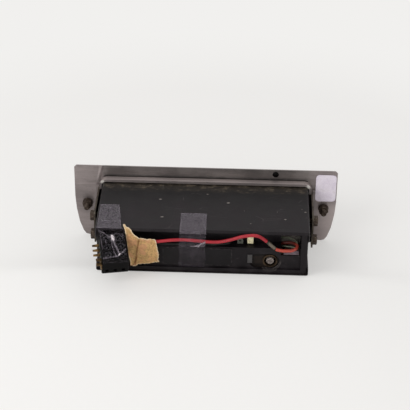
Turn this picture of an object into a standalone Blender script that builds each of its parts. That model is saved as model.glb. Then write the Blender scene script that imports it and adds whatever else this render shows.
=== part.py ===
"""Old car radio standing behind its sheet dash plate, as it comes off the car.

The rear looks to -Y, the dial and knobs look to +Y, and Z is up. The origin lies under the
middle of the whole radio, level with the plate's lower edge. Every length is in metres.
"""

import math

import bmesh
import bpy
from mathutils import Euler, Matrix, Vector

OBJECT_NAME = "car_radio"

# Gaps and overruns that all pieces share
TOUCH = 0.0003
OVERRUN = 0.002
MERGE = 0.00001
EDGE_ANGLE = math.radians(35)

# Housing: the sheet box behind the plate
HOUSING_WIDTH = 0.180
HOUSING_HEIGHT = 0.0425
COVER_REACH = 0.0735
COVER_SHEET = 0.0008
COVER_FLANGE = 0.009
COVER_LIP = 0.0022
COVER_ROUNDING = 0.0014
FLOOR_FLANGE = 0.006
FLOOR_SLOT_COUNT = 6
FLOOR_SLOT_PITCH = 0.012
FLOOR_SLOT_WIDTH = 0.003
FLOOR_SLOT_LENGTH = 0.030
CHASSIS_WALL = 0.0012
CHASSIS_CORNER = 0.0008
CHASSIS_SILL = 0.0035
CHASSIS_POST = 0.0045

# Dash plate with its rolled collar round the radio
EAR_WIDTH = 0.026
PLATE_RISE = 0.0115
PLATE_DROP = 0.018
PLATE_SHEET = 0.0012
PLATE_CORNER = 0.002
WINDOW_CLEARANCE = 0.0011
WINDOW_CORNER = 0.004
COLLAR_DEPTH = 0.0095
COLLAR_SHEET = 0.0011
LIP_DEPTH = 0.0024
LIP_OUTWARD = 0.0012
LIP_STEP = 0.0002
SPARE_HOLE_RADIUS = 0.0022
SPARE_HOLE_SHARES = (0.53, 0.38)
EAR_SHARES = ((1.0, 0.56), (0.992, 0.38), (0.972, 0.19), (0.945, 0.06), (0.925, 0.012), (0.895, 0.0))

# Brackets from the plate to the housing's sides, with their bolts
BRACKET_REACH = 0.048
BRACKET_TOP = 0.0535
BRACKET_FOOT_HEIGHT = 0.032
BRACKET_TAIL_HEIGHT = 0.030
BRACKET_SHEET = 0.0015
BRACKET_STAND_OFF = 0.0031
BRACKET_FOOT = 0.0038
BOLT_RADIUS = 0.0025
BOLT_HOLE_SLACK = 0.0004
BOLT_HEAD_WIDTH = 0.0080
BOLT_HEAD_DEPTH = 0.0035
BOLT_END = 0.004
BOLT_BACK = 0.041
BOLT_UPPER = 0.0465
BOLT_LOWER = 0.0275

# Studs and nuts that hold the plate to the dashboard
STUD_EAR_SHARE = 0.577
STUD_HEIGHT = 0.0340
STUD_RADIUS = 0.0025
STUD_REACH = 0.0105
STUD_HEAD_RADIUS = 0.0050
STUD_HEAD_DEPTH = 0.0022
STUD_FLAT_SHARE = 0.7
NUT_WIDTH = 0.0080
NUT_DEPTH = 0.0040
WASHER_RADIUS = 0.0046
WASHER_DEPTH = 0.0010
STICKER_HEIGHT = 0.0270
STICKER_DEPTH = 0.0004
STICKER_CORNER = 0.003
STICKER_TOP_MARGIN = 0.0035
STICKER_SIDE_MARGIN = 0.0008
STICKER_INNER_MARGIN = 0.0072

# Bezel with its dial window, on the driver's side
BEZEL_WIDTH = 0.188
BEZEL_HEIGHT = 0.050
BEZEL_DEPTH = 0.010
BEZEL_CORNER = 0.006
BEZEL_EDGE = 0.0012
DIAL_WIDTH = 0.092
DIAL_HEIGHT = 0.015
DIAL_LIFT = 0.008
DIAL_LIP = 0.0026
POCKET_SIDE = 0.003
POCKET_RISE = 0.006
GLASS_DEPTH = 0.0016
GLASS_SINK = 0.0006
SCALE_DEPTH = 0.003
RAIL_RADIUS = 0.001
RAIL_RISE = 0.003
RAIL_FRONT = 0.0052
LAMP_RADIUS = 0.0024
LAMP_LENGTH = 0.011
LAMP_OUT = 0.030

# Pointer on its rail
POINTER_WIDTH = 0.008
POINTER_HEIGHT = 0.0044
POINTER_DEPTH = 0.0036
NEEDLE_WIDTH = 0.0009
NEEDLE_DEPTH = 0.0008
RUNNING_GAP = 0.0003

# Push keys
KEY_COUNT = 5
KEY_PITCH = 0.0184
KEY_WIDTH = 0.0176
KEY_HEIGHT = 0.0092
KEY_DROP = 0.0105
KEY_OUT = 0.0052
KEY_BODY = 0.0088
KEY_EDGE = 0.0008
STEM_WIDTH = 0.005
STEM_HEIGHT = 0.003
STEM_LENGTH = 0.022

# Knobs, their shafts and what the shafts turn
KNOB_OUT = 0.0715
KNOB_RADIUS = 0.0118
KNOB_LENGTH = 0.0150
KNOB_CHAMFER = 0.0012
KNOB_DISH = 0.0010
KNOB_SOCKET = 0.010
RING_RADIUS = 0.0140
RING_DEPTH = 0.0042
RING_CHAMFER = 0.0008
SLEEVE_WALL = 0.0010
VOLUME_SHAFT_RADIUS = 0.0025
BUSH_WALL = 0.0012
CONTROL_RADIUS = 0.0100
CONTROL_DEPTH = 0.0120
TUNING_SHAFT_RADIUS = 0.0030
BEARING_RADIUS = 0.0080
BEARING_DEPTH = 0.0020
TURN_STEPS = 28
SMALL_STEPS = 16

# Tuning gears, rack and cores
GEAR_MODULE = 0.0006
PINION_TEETH = 10
GEAR_TEETH = 48
TOOTH_ADDENDUM_SHARE = 0.70
TOOTH_DEDENDUM_SHARE = 1.05
TOOTH_TIP_SHARE = 0.10
TOOTH_ROOT_SHARE = 0.30
TOOTH_GULLET_SHARE = 0.15
MESH_SLACK = 0.00008
GEAR_DEPTH = 0.0026
PINION_DEPTH = 0.0046
PINION_TAIL = 0.0030
AXLE_RADIUS = 0.0016
AXLE_HEAD_RADIUS = 0.0030
AXLE_HEAD_DEPTH = 0.0010
RACK_BODY = 0.0022
RACK_HALF_LENGTH = 0.0168
ARM_HEIGHT = 0.0020
ARM_WIDTH = 0.0080
CORE_PLATE = 0.0030
CORE_PLATE_HEIGHT = 0.0240
CORE_RADIUS = 0.0018
CORE_LENGTH = 0.0370
CORE_PITCH = 0.0070
CORE_COUNT = 3
CORE_CLEARANCE = 0.0004
CORE_BACK = 0.042
COIL_WIDTH = 0.037
COIL_DEPTH = 0.026
COIL_RIGHT = 0.012

# Circuit board and what stands on it
BOARD_LIFT = 0.0046
BOARD_SHEET = 0.0016
BOARD_FRONT = 0.010
BOARD_REAR = 0.0160
CAN_SIZE = 0.0085
CAN_HEIGHT = 0.0140
CAN_PLACE_SHARES = ((-0.42, 0.36), (-0.28, 0.36))
CAPACITOR_RADIUS = 0.0090
CAPACITOR_LENGTH = 0.025
SINK_WIDTH = 0.036
SINK_DEPTH = 0.020
SINK_BASE = 0.0060
SINK_FIN_HEIGHT = 0.0150
SINK_FIN_COUNT = 5
SINK_FIN_WIDTH = 0.0018
SINK_PLACE_SHARES = (-0.34, 0.72)
CORE_STACK_WIDTH = 0.026
CORE_STACK_HEIGHT = 0.024
CORE_STACK_DEPTH = 0.012
WINDING_WIDTH = 0.018
WINDING_HEIGHT = 0.020
WINDING_DEPTH = 0.016
CHOKE_MARGIN = 0.0061
PART_GAP = 0.0006

# Rear panel, its shelf and its openings
PANEL_SHEET = 0.0012
SHELF_HEIGHT = 0.0250
SHELF_DEPTH = 0.010
NOTCH_LEFT = 0.0665
NOTCH_WIDTH = 0.0160
NOTCH_SILL = 0.0182
NOTCH_TOP = 0.0360
OBLONG_CENTRE = 0.0525
OBLONG_WIDTH = 0.0260
OBLONG_HEIGHT = 0.0140
OBLONG_LIFT = 0.0120
SOCKET_PLATE = 0.0012
SOCKET_PLATE_MARGIN = 0.003
SOCKET_OUT = 0.0575
SOCKET_RADIUS = 0.0062
SOCKET_WALL = 0.0012
SOCKET_LENGTH = 0.0110
CONTACT_RADIUS = 0.0033
CONTACT_BORE = 0.0012
CONTACT_SEAT_SHARE = 0.6
LABEL_WIDTH = 0.0586
LABEL_HEIGHT = 0.0172
LABEL_DEPTH = 0.0003
LABEL_CORNER = 0.001
LABEL_CENTRE = -0.0041
LABEL_LIFT = 0.0151
BLOCK_WIDTH = 0.0052
BLOCK_DEPTH = 0.0040
BLOCK_HEIGHT = 0.0078
BLOCK_EDGE = 0.0004
BLOCK_OUT = 0.0405
BLOCK_INWARD = 0.0055
TRIMMER_RADIUS = 0.0024
TRIMMER_LENGTH = 0.0060
TRIMMER_OUT = 0.0320
TRIMMER_BORE = 0.0011

# Plug that hangs at the rear's left end, held by tape
PLUG_WIDTH = 0.0225
PLUG_DEPTH = 0.0258
PLUG_HEIGHT = 0.0204
PLUG_EDGE = 0.0008
PLUG_TIP = math.radians(21)
PLUG_YAW = math.radians(11.3)
PLUG_OUT = -0.0732
PLUG_LIFT = 0.0273
PLUG_REACH = 0.03172
PLUG_WELL_RADIUS = 0.0034
PLUG_WELL_DEPTH = 0.0022
PLUG_WELL_COLUMN_COUNT = 2
PLUG_WELL_ROW_COUNT = 3
PLUG_WELL_COLUMN_PITCH = 0.0115
PLUG_WELL_ROW_PITCH = 0.0078
PLUG_SOCKET_WIDTH = 0.0028
PLUG_SOCKET_DEPTH = 0.0080
PLUG_SOCKET_PITCH = 0.0068
PLUG_SOCKET_LIFT = 0.0042
PRONG_WIDTH = 0.0028
PRONG_SHEET = 0.0012
PRONG_LENGTH = 0.0060
PRONG_PITCH = 0.00485
PRONG_COUNT = 3
PRONG_DROP = 0.0050
PRONG_BACK = 0.0056

# Leads at the rear: each route is a list of (X, out from the rear face, up from the housing's base)
LEAD_RADIUS = 0.0016
THIN_LEAD_RADIUS = 0.0010
SLEEVE_RADIUS = 0.0022
RED_ROUTE = (
    (-0.0560, 0.0030, 0.0330), (-0.0500, 0.0027, 0.0326), (-0.0440, 0.0025, 0.0322),
    (-0.0377, 0.0023, 0.0322), (-0.0310, 0.0022, 0.0332), (-0.0235, 0.0021, 0.0341),
    (-0.0150, 0.0020, 0.0344), (-0.0065, 0.0020, 0.0340), (0.0005, 0.0020, 0.0334),
    (0.0080, 0.0020, 0.0330), (0.0147, 0.0021, 0.0334), (0.0214, 0.0022, 0.0351),
    (0.0272, 0.0023, 0.0371), (0.0339, 0.0024, 0.0395), (0.0415, 0.0024, 0.0407),
    (0.0465, 0.0022, 0.0402), (0.0505, 0.0018, 0.0377), (0.0540, 0.0014, 0.0345),
)
SPLICE_ROUTE = ((0.0543, 0.0014, 0.0342), (0.0578, 0.0012, 0.0308), (0.0612, 0.0010, 0.0275))
LOOP_ROUTE = (
    (0.0618, 0.0010, 0.0268), (0.0652, 0.0010, 0.0257), (0.0700, 0.0006, 0.0251),
    (0.0745, -0.0004, 0.0247), (0.0782, -0.0026, 0.0248), (0.0800, -0.0056, 0.0252),
    (0.0796, -0.0090, 0.0254), (0.0770, -0.0120, 0.0248), (0.0730, -0.0140, 0.0239),
    (0.0690, -0.0152, 0.0227), (0.0655, -0.0172, 0.0206), (0.0640, -0.0186, 0.0180),
    (0.0636, -0.0192, 0.0150), (0.0636, -0.0192, 0.0116), (0.0636, -0.0192, 0.0083),
)
BLACK_ROUTE = (
    (-0.0520, -0.0034, 0.0290), (-0.0460, -0.0035, 0.0276), (-0.0400, -0.0036, 0.0267),
    (-0.0340, -0.0036, 0.0263), (-0.0270, -0.0037, 0.0263), (-0.0200, -0.0038, 0.0263),
    (-0.0120, -0.0040, 0.0263), (-0.0040, -0.0042, 0.0263), (0.0040, -0.0045, 0.0263),
    (0.0120, -0.0050, 0.0263), (0.0190, -0.0060, 0.0263), (0.0230, -0.0078, 0.0263),
    (0.0246, -0.0104, 0.0263),
)
LEAD_STEP_COUNT = 2

# Tapes
KRAFT_SHEET = 0.0005
KRAFT_OUT = 0.0052
KRAFT_FOLD = 0.0290
KRAFT_TAIL = 0.0060
KRAFT_ANCHOR = (-0.0365, 0.0365)
KRAFT_WIDTH = 0.0260
KRAFT_HEIGHT = 0.0305
KRAFT_SHARES = (
    (0.0, 0.0), (-0.40, 0.0), (-0.66, 0.06), (-0.88, 0.15), (-1.0, 0.22), (-1.03, 0.30),
    (-0.98, 0.62), (-0.92, 0.82), (-0.86, 0.955), (-0.62, 0.90), (-0.30, 0.84), (0.02, 0.79),
    (0.04, 0.70), (0.0, 0.30),
)
TAPE_SHEET = 0.0003
PATCH_LEFT = -0.0885
PATCH_WIDTH = 0.0185
PATCH_LENGTH = 0.036
PATCH_TAPER = 0.0025
STRIP_LEFT = -0.0206
STRIP_WIDTH = 0.0240
STRIP_LENGTH = 0.0265
STRIP_BULGE = 0.0058
STRIP_BULGE_LOW = 0.0305
STRIP_TAIL = 0.0040

# Places that follow from the sizes above
HALF_WIDTH = HOUSING_WIDTH / 2
PLATE_WIDTH = HOUSING_WIDTH + 2 * EAR_WIDTH
STUD_OUT = HALF_WIDTH + EAR_WIDTH * STUD_EAR_SHARE
STICKER_WIDTH = EAR_WIDTH - STICKER_SIDE_MARGIN - STICKER_INNER_MARGIN
BOLT_HEIGHTS = (BOLT_UPPER, BOLT_LOWER)
BASE = PLATE_DROP
TOP = BASE + HOUSING_HEIGHT
MIDDLE = BASE + HOUSING_HEIGHT / 2
PLATE_HEIGHT = PLATE_DROP + HOUSING_HEIGHT + PLATE_RISE
FRONT_REACH = PLATE_SHEET + TOUCH + BEZEL_DEPTH + TOUCH + RING_DEPTH + TOUCH + KNOB_LENGTH
REAR_REACH = COLLAR_DEPTH + COVER_REACH + PLUG_REACH
PLATE_BACK = (REAR_REACH - FRONT_REACH) / 2
PLATE_FRONT = PLATE_BACK + PLATE_SHEET
REAR = PLATE_BACK - COLLAR_DEPTH - COVER_REACH
NOSE = PLATE_FRONT
CHASSIS_HALF = HALF_WIDTH - COVER_SHEET - TOUCH
CHASSIS_LOW = BASE + COVER_SHEET + TOUCH
CHASSIS_HIGH = TOP - COVER_SHEET - TOUCH
CHASSIS_REAR = REAR + COVER_SHEET + TOUCH
INNER_HALF = CHASSIS_HALF - CHASSIS_WALL
INNER_FRONT = NOSE - CHASSIS_WALL
PANEL_REAR = CHASSIS_REAR + CHASSIS_WALL + TOUCH
BEZEL_BACK = PLATE_FRONT + TOUCH
BEZEL_FACE = BEZEL_BACK + BEZEL_DEPTH
DIAL_MIDDLE = MIDDLE + DIAL_LIFT
DIAL_TOP = DIAL_MIDDLE + DIAL_HEIGHT / 2
DIAL_BASE = DIAL_MIDDLE - DIAL_HEIGHT / 2
KEY_MIDDLE = MIDDLE - KEY_DROP
SLEEVE_BORE = VOLUME_SHAFT_RADIUS + RUNNING_GAP
SLEEVE_RADIUS_OUT = SLEEVE_BORE + SLEEVE_WALL
CONTROL_BORE = SLEEVE_RADIUS_OUT + RUNNING_GAP
BUSH_RADIUS = CONTROL_BORE + BUSH_WALL
BEARING_BORE = TUNING_SHAFT_RADIUS + RUNNING_GAP
BEARING_BUSH = BEARING_BORE + BUSH_WALL
SHAFT_HOLE = max(BUSH_RADIUS, BEARING_BUSH) + TOUCH
RING_BACK = BEZEL_FACE + TOUCH
KNOB_BACK = RING_BACK + RING_DEPTH + TOUCH
PINION_PITCH = GEAR_MODULE * PINION_TEETH / 2
GEAR_PITCH = GEAR_MODULE * GEAR_TEETH / 2
GEAR_OUT = KNOB_OUT - PINION_PITCH - GEAR_PITCH - MESH_SLACK
GEAR_FRONT = INNER_FRONT - BEARING_DEPTH - TOUCH
BOARD_TOP = BASE + BOARD_LIFT + BOARD_SHEET
BOARD_FRONT_Y = INNER_FRONT - BOARD_FRONT
BOARD_REAR_Y = REAR + BOARD_REAR
RACK_PITCH_LINE = MIDDLE + GEAR_PITCH + MESH_SLACK
BOARD_RIGHT = INNER_HALF - BOLT_END - PART_GAP
CHOKE_MIDDLE_Y = BOARD_REAR_Y + CHOKE_MARGIN + WINDING_DEPTH / 2
CAPACITOR_MIDDLE_Y = CHOKE_MIDDLE_Y + WINDING_DEPTH / 2 + PART_GAP + CAPACITOR_RADIUS
LID_EDGE = HALF_WIDTH + BRACKET_STAND_OFF


def clear_scene():
    for item in list(bpy.data.objects):
        bpy.data.objects.remove(item, do_unlink=True)


def new_collection(name):
    group = bpy.data.collections.new(name)
    bpy.context.scene.collection.children.link(group)
    return group


def paint(name, colour, roughness, metallic, alpha=1.0):
    """A plain surface finish."""
    finish = bpy.data.materials.new(name)
    finish.use_nodes = True
    shader = finish.node_tree.nodes["Principled BSDF"]
    shader.inputs["Base Color"].default_value = (*colour, 1.0)
    shader.inputs["Roughness"].default_value = roughness
    shader.inputs["Metallic"].default_value = metallic
    shader.inputs["Alpha"].default_value = alpha
    finish.diffuse_color = (*colour, alpha)
    return finish


def make_finishes():
    return {
        "bare_steel": paint("bare_steel", (0.25, 0.24, 0.23), 0.42, 0.9),
        "black_paint": paint("black_paint", (0.035, 0.034, 0.036), 0.5, 0.1),
        "black_plastic": paint("black_plastic", (0.02, 0.02, 0.021), 0.4, 0.0),
        "zinc": paint("zinc", (0.45, 0.44, 0.42), 0.35, 0.95),
        "rusty_screw": paint("rusty_screw", (0.12, 0.08, 0.06), 0.6, 0.8),
        "chrome": paint("chrome", (0.75, 0.75, 0.76), 0.12, 1.0),
        "brass": paint("brass", (0.42, 0.30, 0.14), 0.4, 0.9),
        "clear_plastic": paint("clear_plastic", (0.85, 0.87, 0.88), 0.1, 0.0, 0.3),
        "cream_plastic": paint("cream_plastic", (0.74, 0.66, 0.46), 0.45, 0.0),
        "grey_plastic": paint("grey_plastic", (0.30, 0.31, 0.29), 0.5, 0.0),
        "red_plastic": paint("red_plastic", (0.50, 0.04, 0.05), 0.4, 0.0),
        "white_paper": paint("white_paper", (0.62, 0.59, 0.66), 0.8, 0.0),
        "kraft_paper": paint("kraft_paper", (0.56, 0.38, 0.17), 0.85, 0.0),
        "board_laminate": paint("board_laminate", (0.30, 0.18, 0.07), 0.6, 0.0),
        "lit_scale": paint("lit_scale", (0.80, 0.78, 0.68), 0.5, 0.0),
    }


def smooth(mesh):
    mesh.shade_smooth()
    mesh.set_sharp_from_angle(angle=EDGE_ANGLE)


def add_object(name, mesh, finish, group, place=(0, 0, 0), turn=(0, 0, 0)):
    item = bpy.data.objects.new(name, mesh)
    item.location = place
    item.rotation_euler = turn
    group.objects.link(item)
    if finish:
        mesh.materials.append(finish)
    return item


def hide_tool(item):
    item.hide_render = True
    item.display_type = "WIRE"


class Bench:
    """Holds the two collections and the finishes, and makes the basic shapes."""

    def __init__(self):
        self.parts = new_collection(OBJECT_NAME)
        self.tools = new_collection("cutters")
        self.finishes = make_finishes()

    def part(self, name, mesh, finish, place=(0, 0, 0), turn=(0, 0, 0)):
        return add_object(name, mesh, self.finishes[finish], self.parts, place, turn)

    def tool(self, name, mesh, place=(0, 0, 0), turn=(0, 0, 0)):
        item = add_object(name, mesh, None, self.tools, place, turn)
        hide_tool(item)
        return item

    def combine(self, item, other, operation):
        """Cuts or joins item with a hidden tool."""
        step = item.modifiers.new(other.name, "BOOLEAN")
        step.operation = operation
        step.solver = "EXACT"
        step.object = other
        return item

    def cut(self, item, other):
        return self.combine(item, other, "DIFFERENCE")

    def join(self, item, other):
        return self.combine(item, other, "UNION")


def box_mesh(name, size):
    """A box round its own middle."""
    shape = bmesh.new()
    bmesh.ops.create_cube(shape, size=1.0)
    bmesh.ops.scale(shape, vec=size, verts=shape.verts)
    mesh = bpy.data.meshes.new(name)
    shape.to_mesh(mesh)
    shape.free()
    return mesh


def span_box(low, high):
    """Size and middle of the box between two corners."""
    size = [b - a for a, b in zip(low, high)]
    middle = [(a + b) / 2 for a, b in zip(low, high)]
    return size, middle


def rod_mesh(name, radius, length, steps=SMALL_STEPS, axis="Y"):
    """A cylinder round its own middle along one axis."""
    shape = bmesh.new()
    bmesh.ops.create_cone(shape, cap_ends=True, segments=steps, radius1=radius, radius2=radius,
                          depth=length)
    turns = {"X": Matrix.Rotation(math.radians(90), 4, "Y"),
             "Y": Matrix.Rotation(math.radians(90), 4, "X"),
             "Z": Matrix.Identity(4)}
    bmesh.ops.transform(shape, matrix=turns[axis], verts=shape.verts)
    mesh = bpy.data.meshes.new(name)
    shape.to_mesh(mesh)
    shape.free()
    smooth(mesh)
    return mesh


def hex_mesh(name, width, depth, axis="Y"):
    """A hexagon prism that is width across its flats."""
    return rod_mesh(name, width / math.sqrt(3), depth, 6, axis)


def turned_part(bench, name, profile, finish, place, steps=TURN_STEPS, closed=False, tool=False):
    """Turns a profile of (radius, distance towards +Y) pairs, listed from front to rear."""
    mesh = bpy.data.meshes.new(name)
    points = [(radius, 0, reach) for radius, reach in profile]
    edges = [(i, i + 1) for i in range(len(points) - 1)]
    if closed:
        edges.append((len(points) - 1, 0))
    mesh.from_pydata(points, edges, [])
    # the profile's own Z becomes +Y
    stand = Euler((math.radians(-90), 0, 0))
    if tool:
        item = bench.tool(name, mesh, place, stand)
    else:
        item = bench.part(name, mesh, finish, place, stand)
    screw = item.modifiers.new("turn", "SCREW")
    screw.axis = "Z"
    screw.steps = steps
    screw.render_steps = steps
    screw.use_merge_vertices = True
    screw.merge_threshold = MERGE
    screw.use_smooth_shade = True
    return item


def flat_mesh(name, loops, depth):
    """A plate of the given outlines, lying in XY round z = 0."""
    outline = bpy.data.curves.new(name, "CURVE")
    outline.dimensions = "2D"
    outline.fill_mode = "BOTH"
    outline.extrude = depth / 2
    outline.render_resolution_u = 0
    for loop in loops:
        line = outline.splines.new("POLY")
        line.points.add(len(loop) - 1)
        for point, (x, y) in zip(line.points, loop):
            point.co = (x, y, 0, 1)
        line.use_cyclic_u = True
    holder = bpy.data.objects.new(name, outline)
    bpy.context.scene.collection.objects.link(holder)
    seen = holder.evaluated_get(bpy.context.evaluated_depsgraph_get())
    mesh = bpy.data.meshes.new_from_object(seen)
    mesh.name = name
    bpy.data.objects.remove(holder, do_unlink=True)
    bpy.data.curves.remove(outline)
    shape = bmesh.new()
    shape.from_mesh(mesh)
    bmesh.ops.remove_doubles(shape, verts=shape.verts, dist=MERGE)
    bmesh.ops.recalc_face_normals(shape, faces=shape.faces)
    shape.to_mesh(mesh)
    shape.free()
    smooth(mesh)
    return mesh


# An outline in XY stands up in XZ, and its depth then runs along Y
UPRIGHT = (math.radians(90), 0, 0)
# An outline in XY stands up in YZ: its x runs along +Y and its depth along X
SIDEWAYS = (math.radians(90), 0, math.radians(90))


def rounded_loop(width, height, corner, centre=(0, 0), steps=3):
    """A rectangle with round corners, as a list of points."""
    loop = []
    for side, (across, up) in enumerate(((1, 1), (-1, 1), (-1, -1), (1, -1))):
        middle_x = centre[0] + across * (width / 2 - corner)
        middle_y = centre[1] + up * (height / 2 - corner)
        for step in range(steps + 1):
            angle = math.radians(90) * (side + step / steps)
            loop.append((middle_x + corner * math.cos(angle), middle_y + corner * math.sin(angle)))
    return loop


def bevel(item, width, segments=1):
    step = item.modifiers.new("edge", "BEVEL")
    step.width = width
    step.segments = segments
    step.limit_method = "ANGLE"
    step.angle_limit = EDGE_ANGLE
    step.use_clamp_overlap = True
    return item


def smooth_route(points, between):
    """Points on a smooth curve through the given ones."""
    route = []
    last = len(points) - 1
    for i in range(last):
        before = Vector(points[max(i - 1, 0)])
        start = Vector(points[i])
        end = Vector(points[i + 1])
        after = Vector(points[min(i + 2, last)])
        for step in range(between):
            t = step / between
            route.append(0.5 * (2 * start + (end - before) * t
                                + (2 * before - 5 * start + 4 * end - after) * t ** 2
                                + (3 * start - before - 3 * end + after) * t ** 3))
    route.append(Vector(points[last]))
    return route


def lead(bench, name, route, radius, finish, between=LEAD_STEP_COUNT):
    """A tube along a rear route."""
    places = [(x, REAR - out, BASE + up) for x, out, up in route]
    line = bpy.data.curves.new(name, "CURVE")
    line.dimensions = "3D"
    line.bevel_depth = radius
    line.bevel_resolution = 2
    line.use_fill_caps = True
    line.render_resolution_u = 0
    points = smooth_route(places, between)
    run = line.splines.new("POLY")
    run.points.add(len(points) - 1)
    for point, place in zip(run.points, points):
        point.co = (*place, 1)
    line.materials.append(bench.finishes[finish])
    item = bpy.data.objects.new(name, line)
    bench.parts.objects.link(item)
    return item


def plate_outline():
    """The dash plate's edge, from its top left corner round by the right."""
    half = PLATE_WIDTH / 2
    right = [(half * across, PLATE_HEIGHT * up) for across, up in EAR_SHARES]
    top = [(half - PLATE_CORNER, PLATE_HEIGHT), (half, PLATE_HEIGHT - PLATE_CORNER)]
    side = top + right
    return [(-x, z) for x, z in reversed(side)] + side


def make_dash_plate(bench):
    """The plate with its window, and the collar that is rolled out at its end."""
    width = HOUSING_WIDTH + 2 * WINDOW_CLEARANCE
    height = HOUSING_HEIGHT + 2 * WINDOW_CLEARANCE
    centre = (0, MIDDLE)
    root = PLATE_BACK + PLATE_SHEET / 2
    end = PLATE_BACK - COLLAR_DEPTH
    plate = bench.part("dash_plate", flat_mesh("dash_plate", [plate_outline()], PLATE_SHEET),
                       "bare_steel", (0, root, 0), UPRIGHT)
    tube = rounded_loop(width + 2 * COLLAR_SHEET, height + 2 * COLLAR_SHEET,
                        WINDOW_CORNER + COLLAR_SHEET, centre)
    bench.join(plate, bench.tool("collar_tube", flat_mesh("collar_tube", [tube], root - end),
                                 (0, (root + end) / 2, 0), UPRIGHT))
    roll = COLLAR_SHEET + LIP_OUTWARD
    lip = rounded_loop(width + 2 * roll, height + 2 * roll, WINDOW_CORNER + roll, centre)
    lip_rear = end - LIP_STEP
    lip_front = lip_rear + LIP_DEPTH
    bench.join(plate, bench.tool("collar_lip", flat_mesh("collar_lip", [lip], LIP_DEPTH),
                                 (0, (lip_rear + lip_front) / 2, 0), UPRIGHT))
    window = rounded_loop(width, height, WINDOW_CORNER, centre)
    depth = PLATE_FRONT - lip_rear + 2 * OVERRUN
    bench.cut(plate, bench.tool("window_cut", flat_mesh("window_cut", [window], depth),
                                (0, (PLATE_FRONT + lip_rear) / 2, 0), UPRIGHT))
    # the collar is open at both sides, where the brackets stand
    gap_top = BRACKET_TOP + TOUCH
    gap_low = BRACKET_TOP - BRACKET_FOOT_HEIGHT - TOUCH
    low = (-PLATE_WIDTH, lip_rear - OVERRUN, gap_low)
    high = (PLATE_WIDTH, PLATE_BACK, gap_top)
    size, middle = span_box(low, high)
    bench.cut(plate, bench.tool("collar_side_cut", box_mesh("collar_side_cut", size), middle))
    for side in (-1, 1):
        hole = rod_mesh("stud_hole", STUD_RADIUS + TOUCH, PLATE_SHEET + 2 * OVERRUN)
        bench.cut(plate, bench.tool("stud_hole", hole, (side * STUD_OUT, root, STUD_HEIGHT)))
    spare_x = PLATE_WIDTH / 2 * SPARE_HOLE_SHARES[0]
    spare_z = PLATE_HEIGHT - PLATE_RISE * SPARE_HOLE_SHARES[1]
    hole = rod_mesh("spare_hole", SPARE_HOLE_RADIUS, PLATE_SHEET + 2 * OVERRUN)
    bench.cut(plate, bench.tool("spare_hole", hole, (spare_x, root, spare_z)))


def make_bracket(bench, side_name, side):
    """An angle of sheet: its foot lies on the plate's back and its arm runs along the housing."""
    inner = LID_EDGE
    arm_front = PLATE_BACK - TOUCH
    arm_rear = PLATE_BACK - BRACKET_REACH
    foot_low = BRACKET_TOP - BRACKET_FOOT_HEIGHT
    tail_low = BRACKET_TOP - BRACKET_TAIL_HEIGHT
    edge = BRACKET_SHEET
    arm_loop = [(arm_front, BRACKET_TOP), (arm_rear + edge, BRACKET_TOP),
                (arm_rear, BRACKET_TOP - edge), (arm_rear, tail_low), (arm_front, foot_low)]
    name = side_name + "_bracket"
    arm = bench.part(name, flat_mesh(name, [arm_loop], BRACKET_SHEET), "bare_steel",
                     (side * (inner + BRACKET_SHEET / 2), 0, 0), SIDEWAYS)
    foot_inner = inner + BRACKET_SHEET / 2
    low = (foot_inner, arm_front - BRACKET_SHEET, foot_low)
    high = (inner + BRACKET_FOOT, arm_front, BRACKET_TOP)
    size, middle = span_box(low, high)
    middle[0] *= side
    bench.join(arm, bench.tool(name + "_foot", box_mesh(name + "_foot", size), middle))
    for number, height in enumerate(BOLT_HEIGHTS, 1):
        hole = rod_mesh("bracket_hole", BOLT_RADIUS + BOLT_HOLE_SLACK, BRACKET_SHEET + 2 * OVERRUN,
                        axis="X")
        place = (side * (inner + BRACKET_SHEET / 2), PLATE_BACK - BOLT_BACK, height)
        bench.cut(arm, bench.tool(f"{name}_hole_{number}", hole, place))


def make_bracket_bolt(bench, name, side, height):
    """A hexagon bolt through the bracket and the chassis side."""
    outer = LID_EDGE + BRACKET_SHEET + TOUCH
    head_middle = outer + BOLT_HEAD_DEPTH / 2
    shank_end = INNER_HALF - BOLT_END
    place_y = PLATE_BACK - BOLT_BACK
    head = bench.part(name, hex_mesh(name, BOLT_HEAD_WIDTH, BOLT_HEAD_DEPTH, "X"), "rusty_screw",
                      (side * head_middle, place_y, height))
    length = head_middle - shank_end
    shank = rod_mesh(name + "_shank", BOLT_RADIUS, length, axis="X")
    bench.join(head, bench.tool(name + "_shank", shank,
                                (side * (shank_end + length / 2), place_y, height)))


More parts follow.
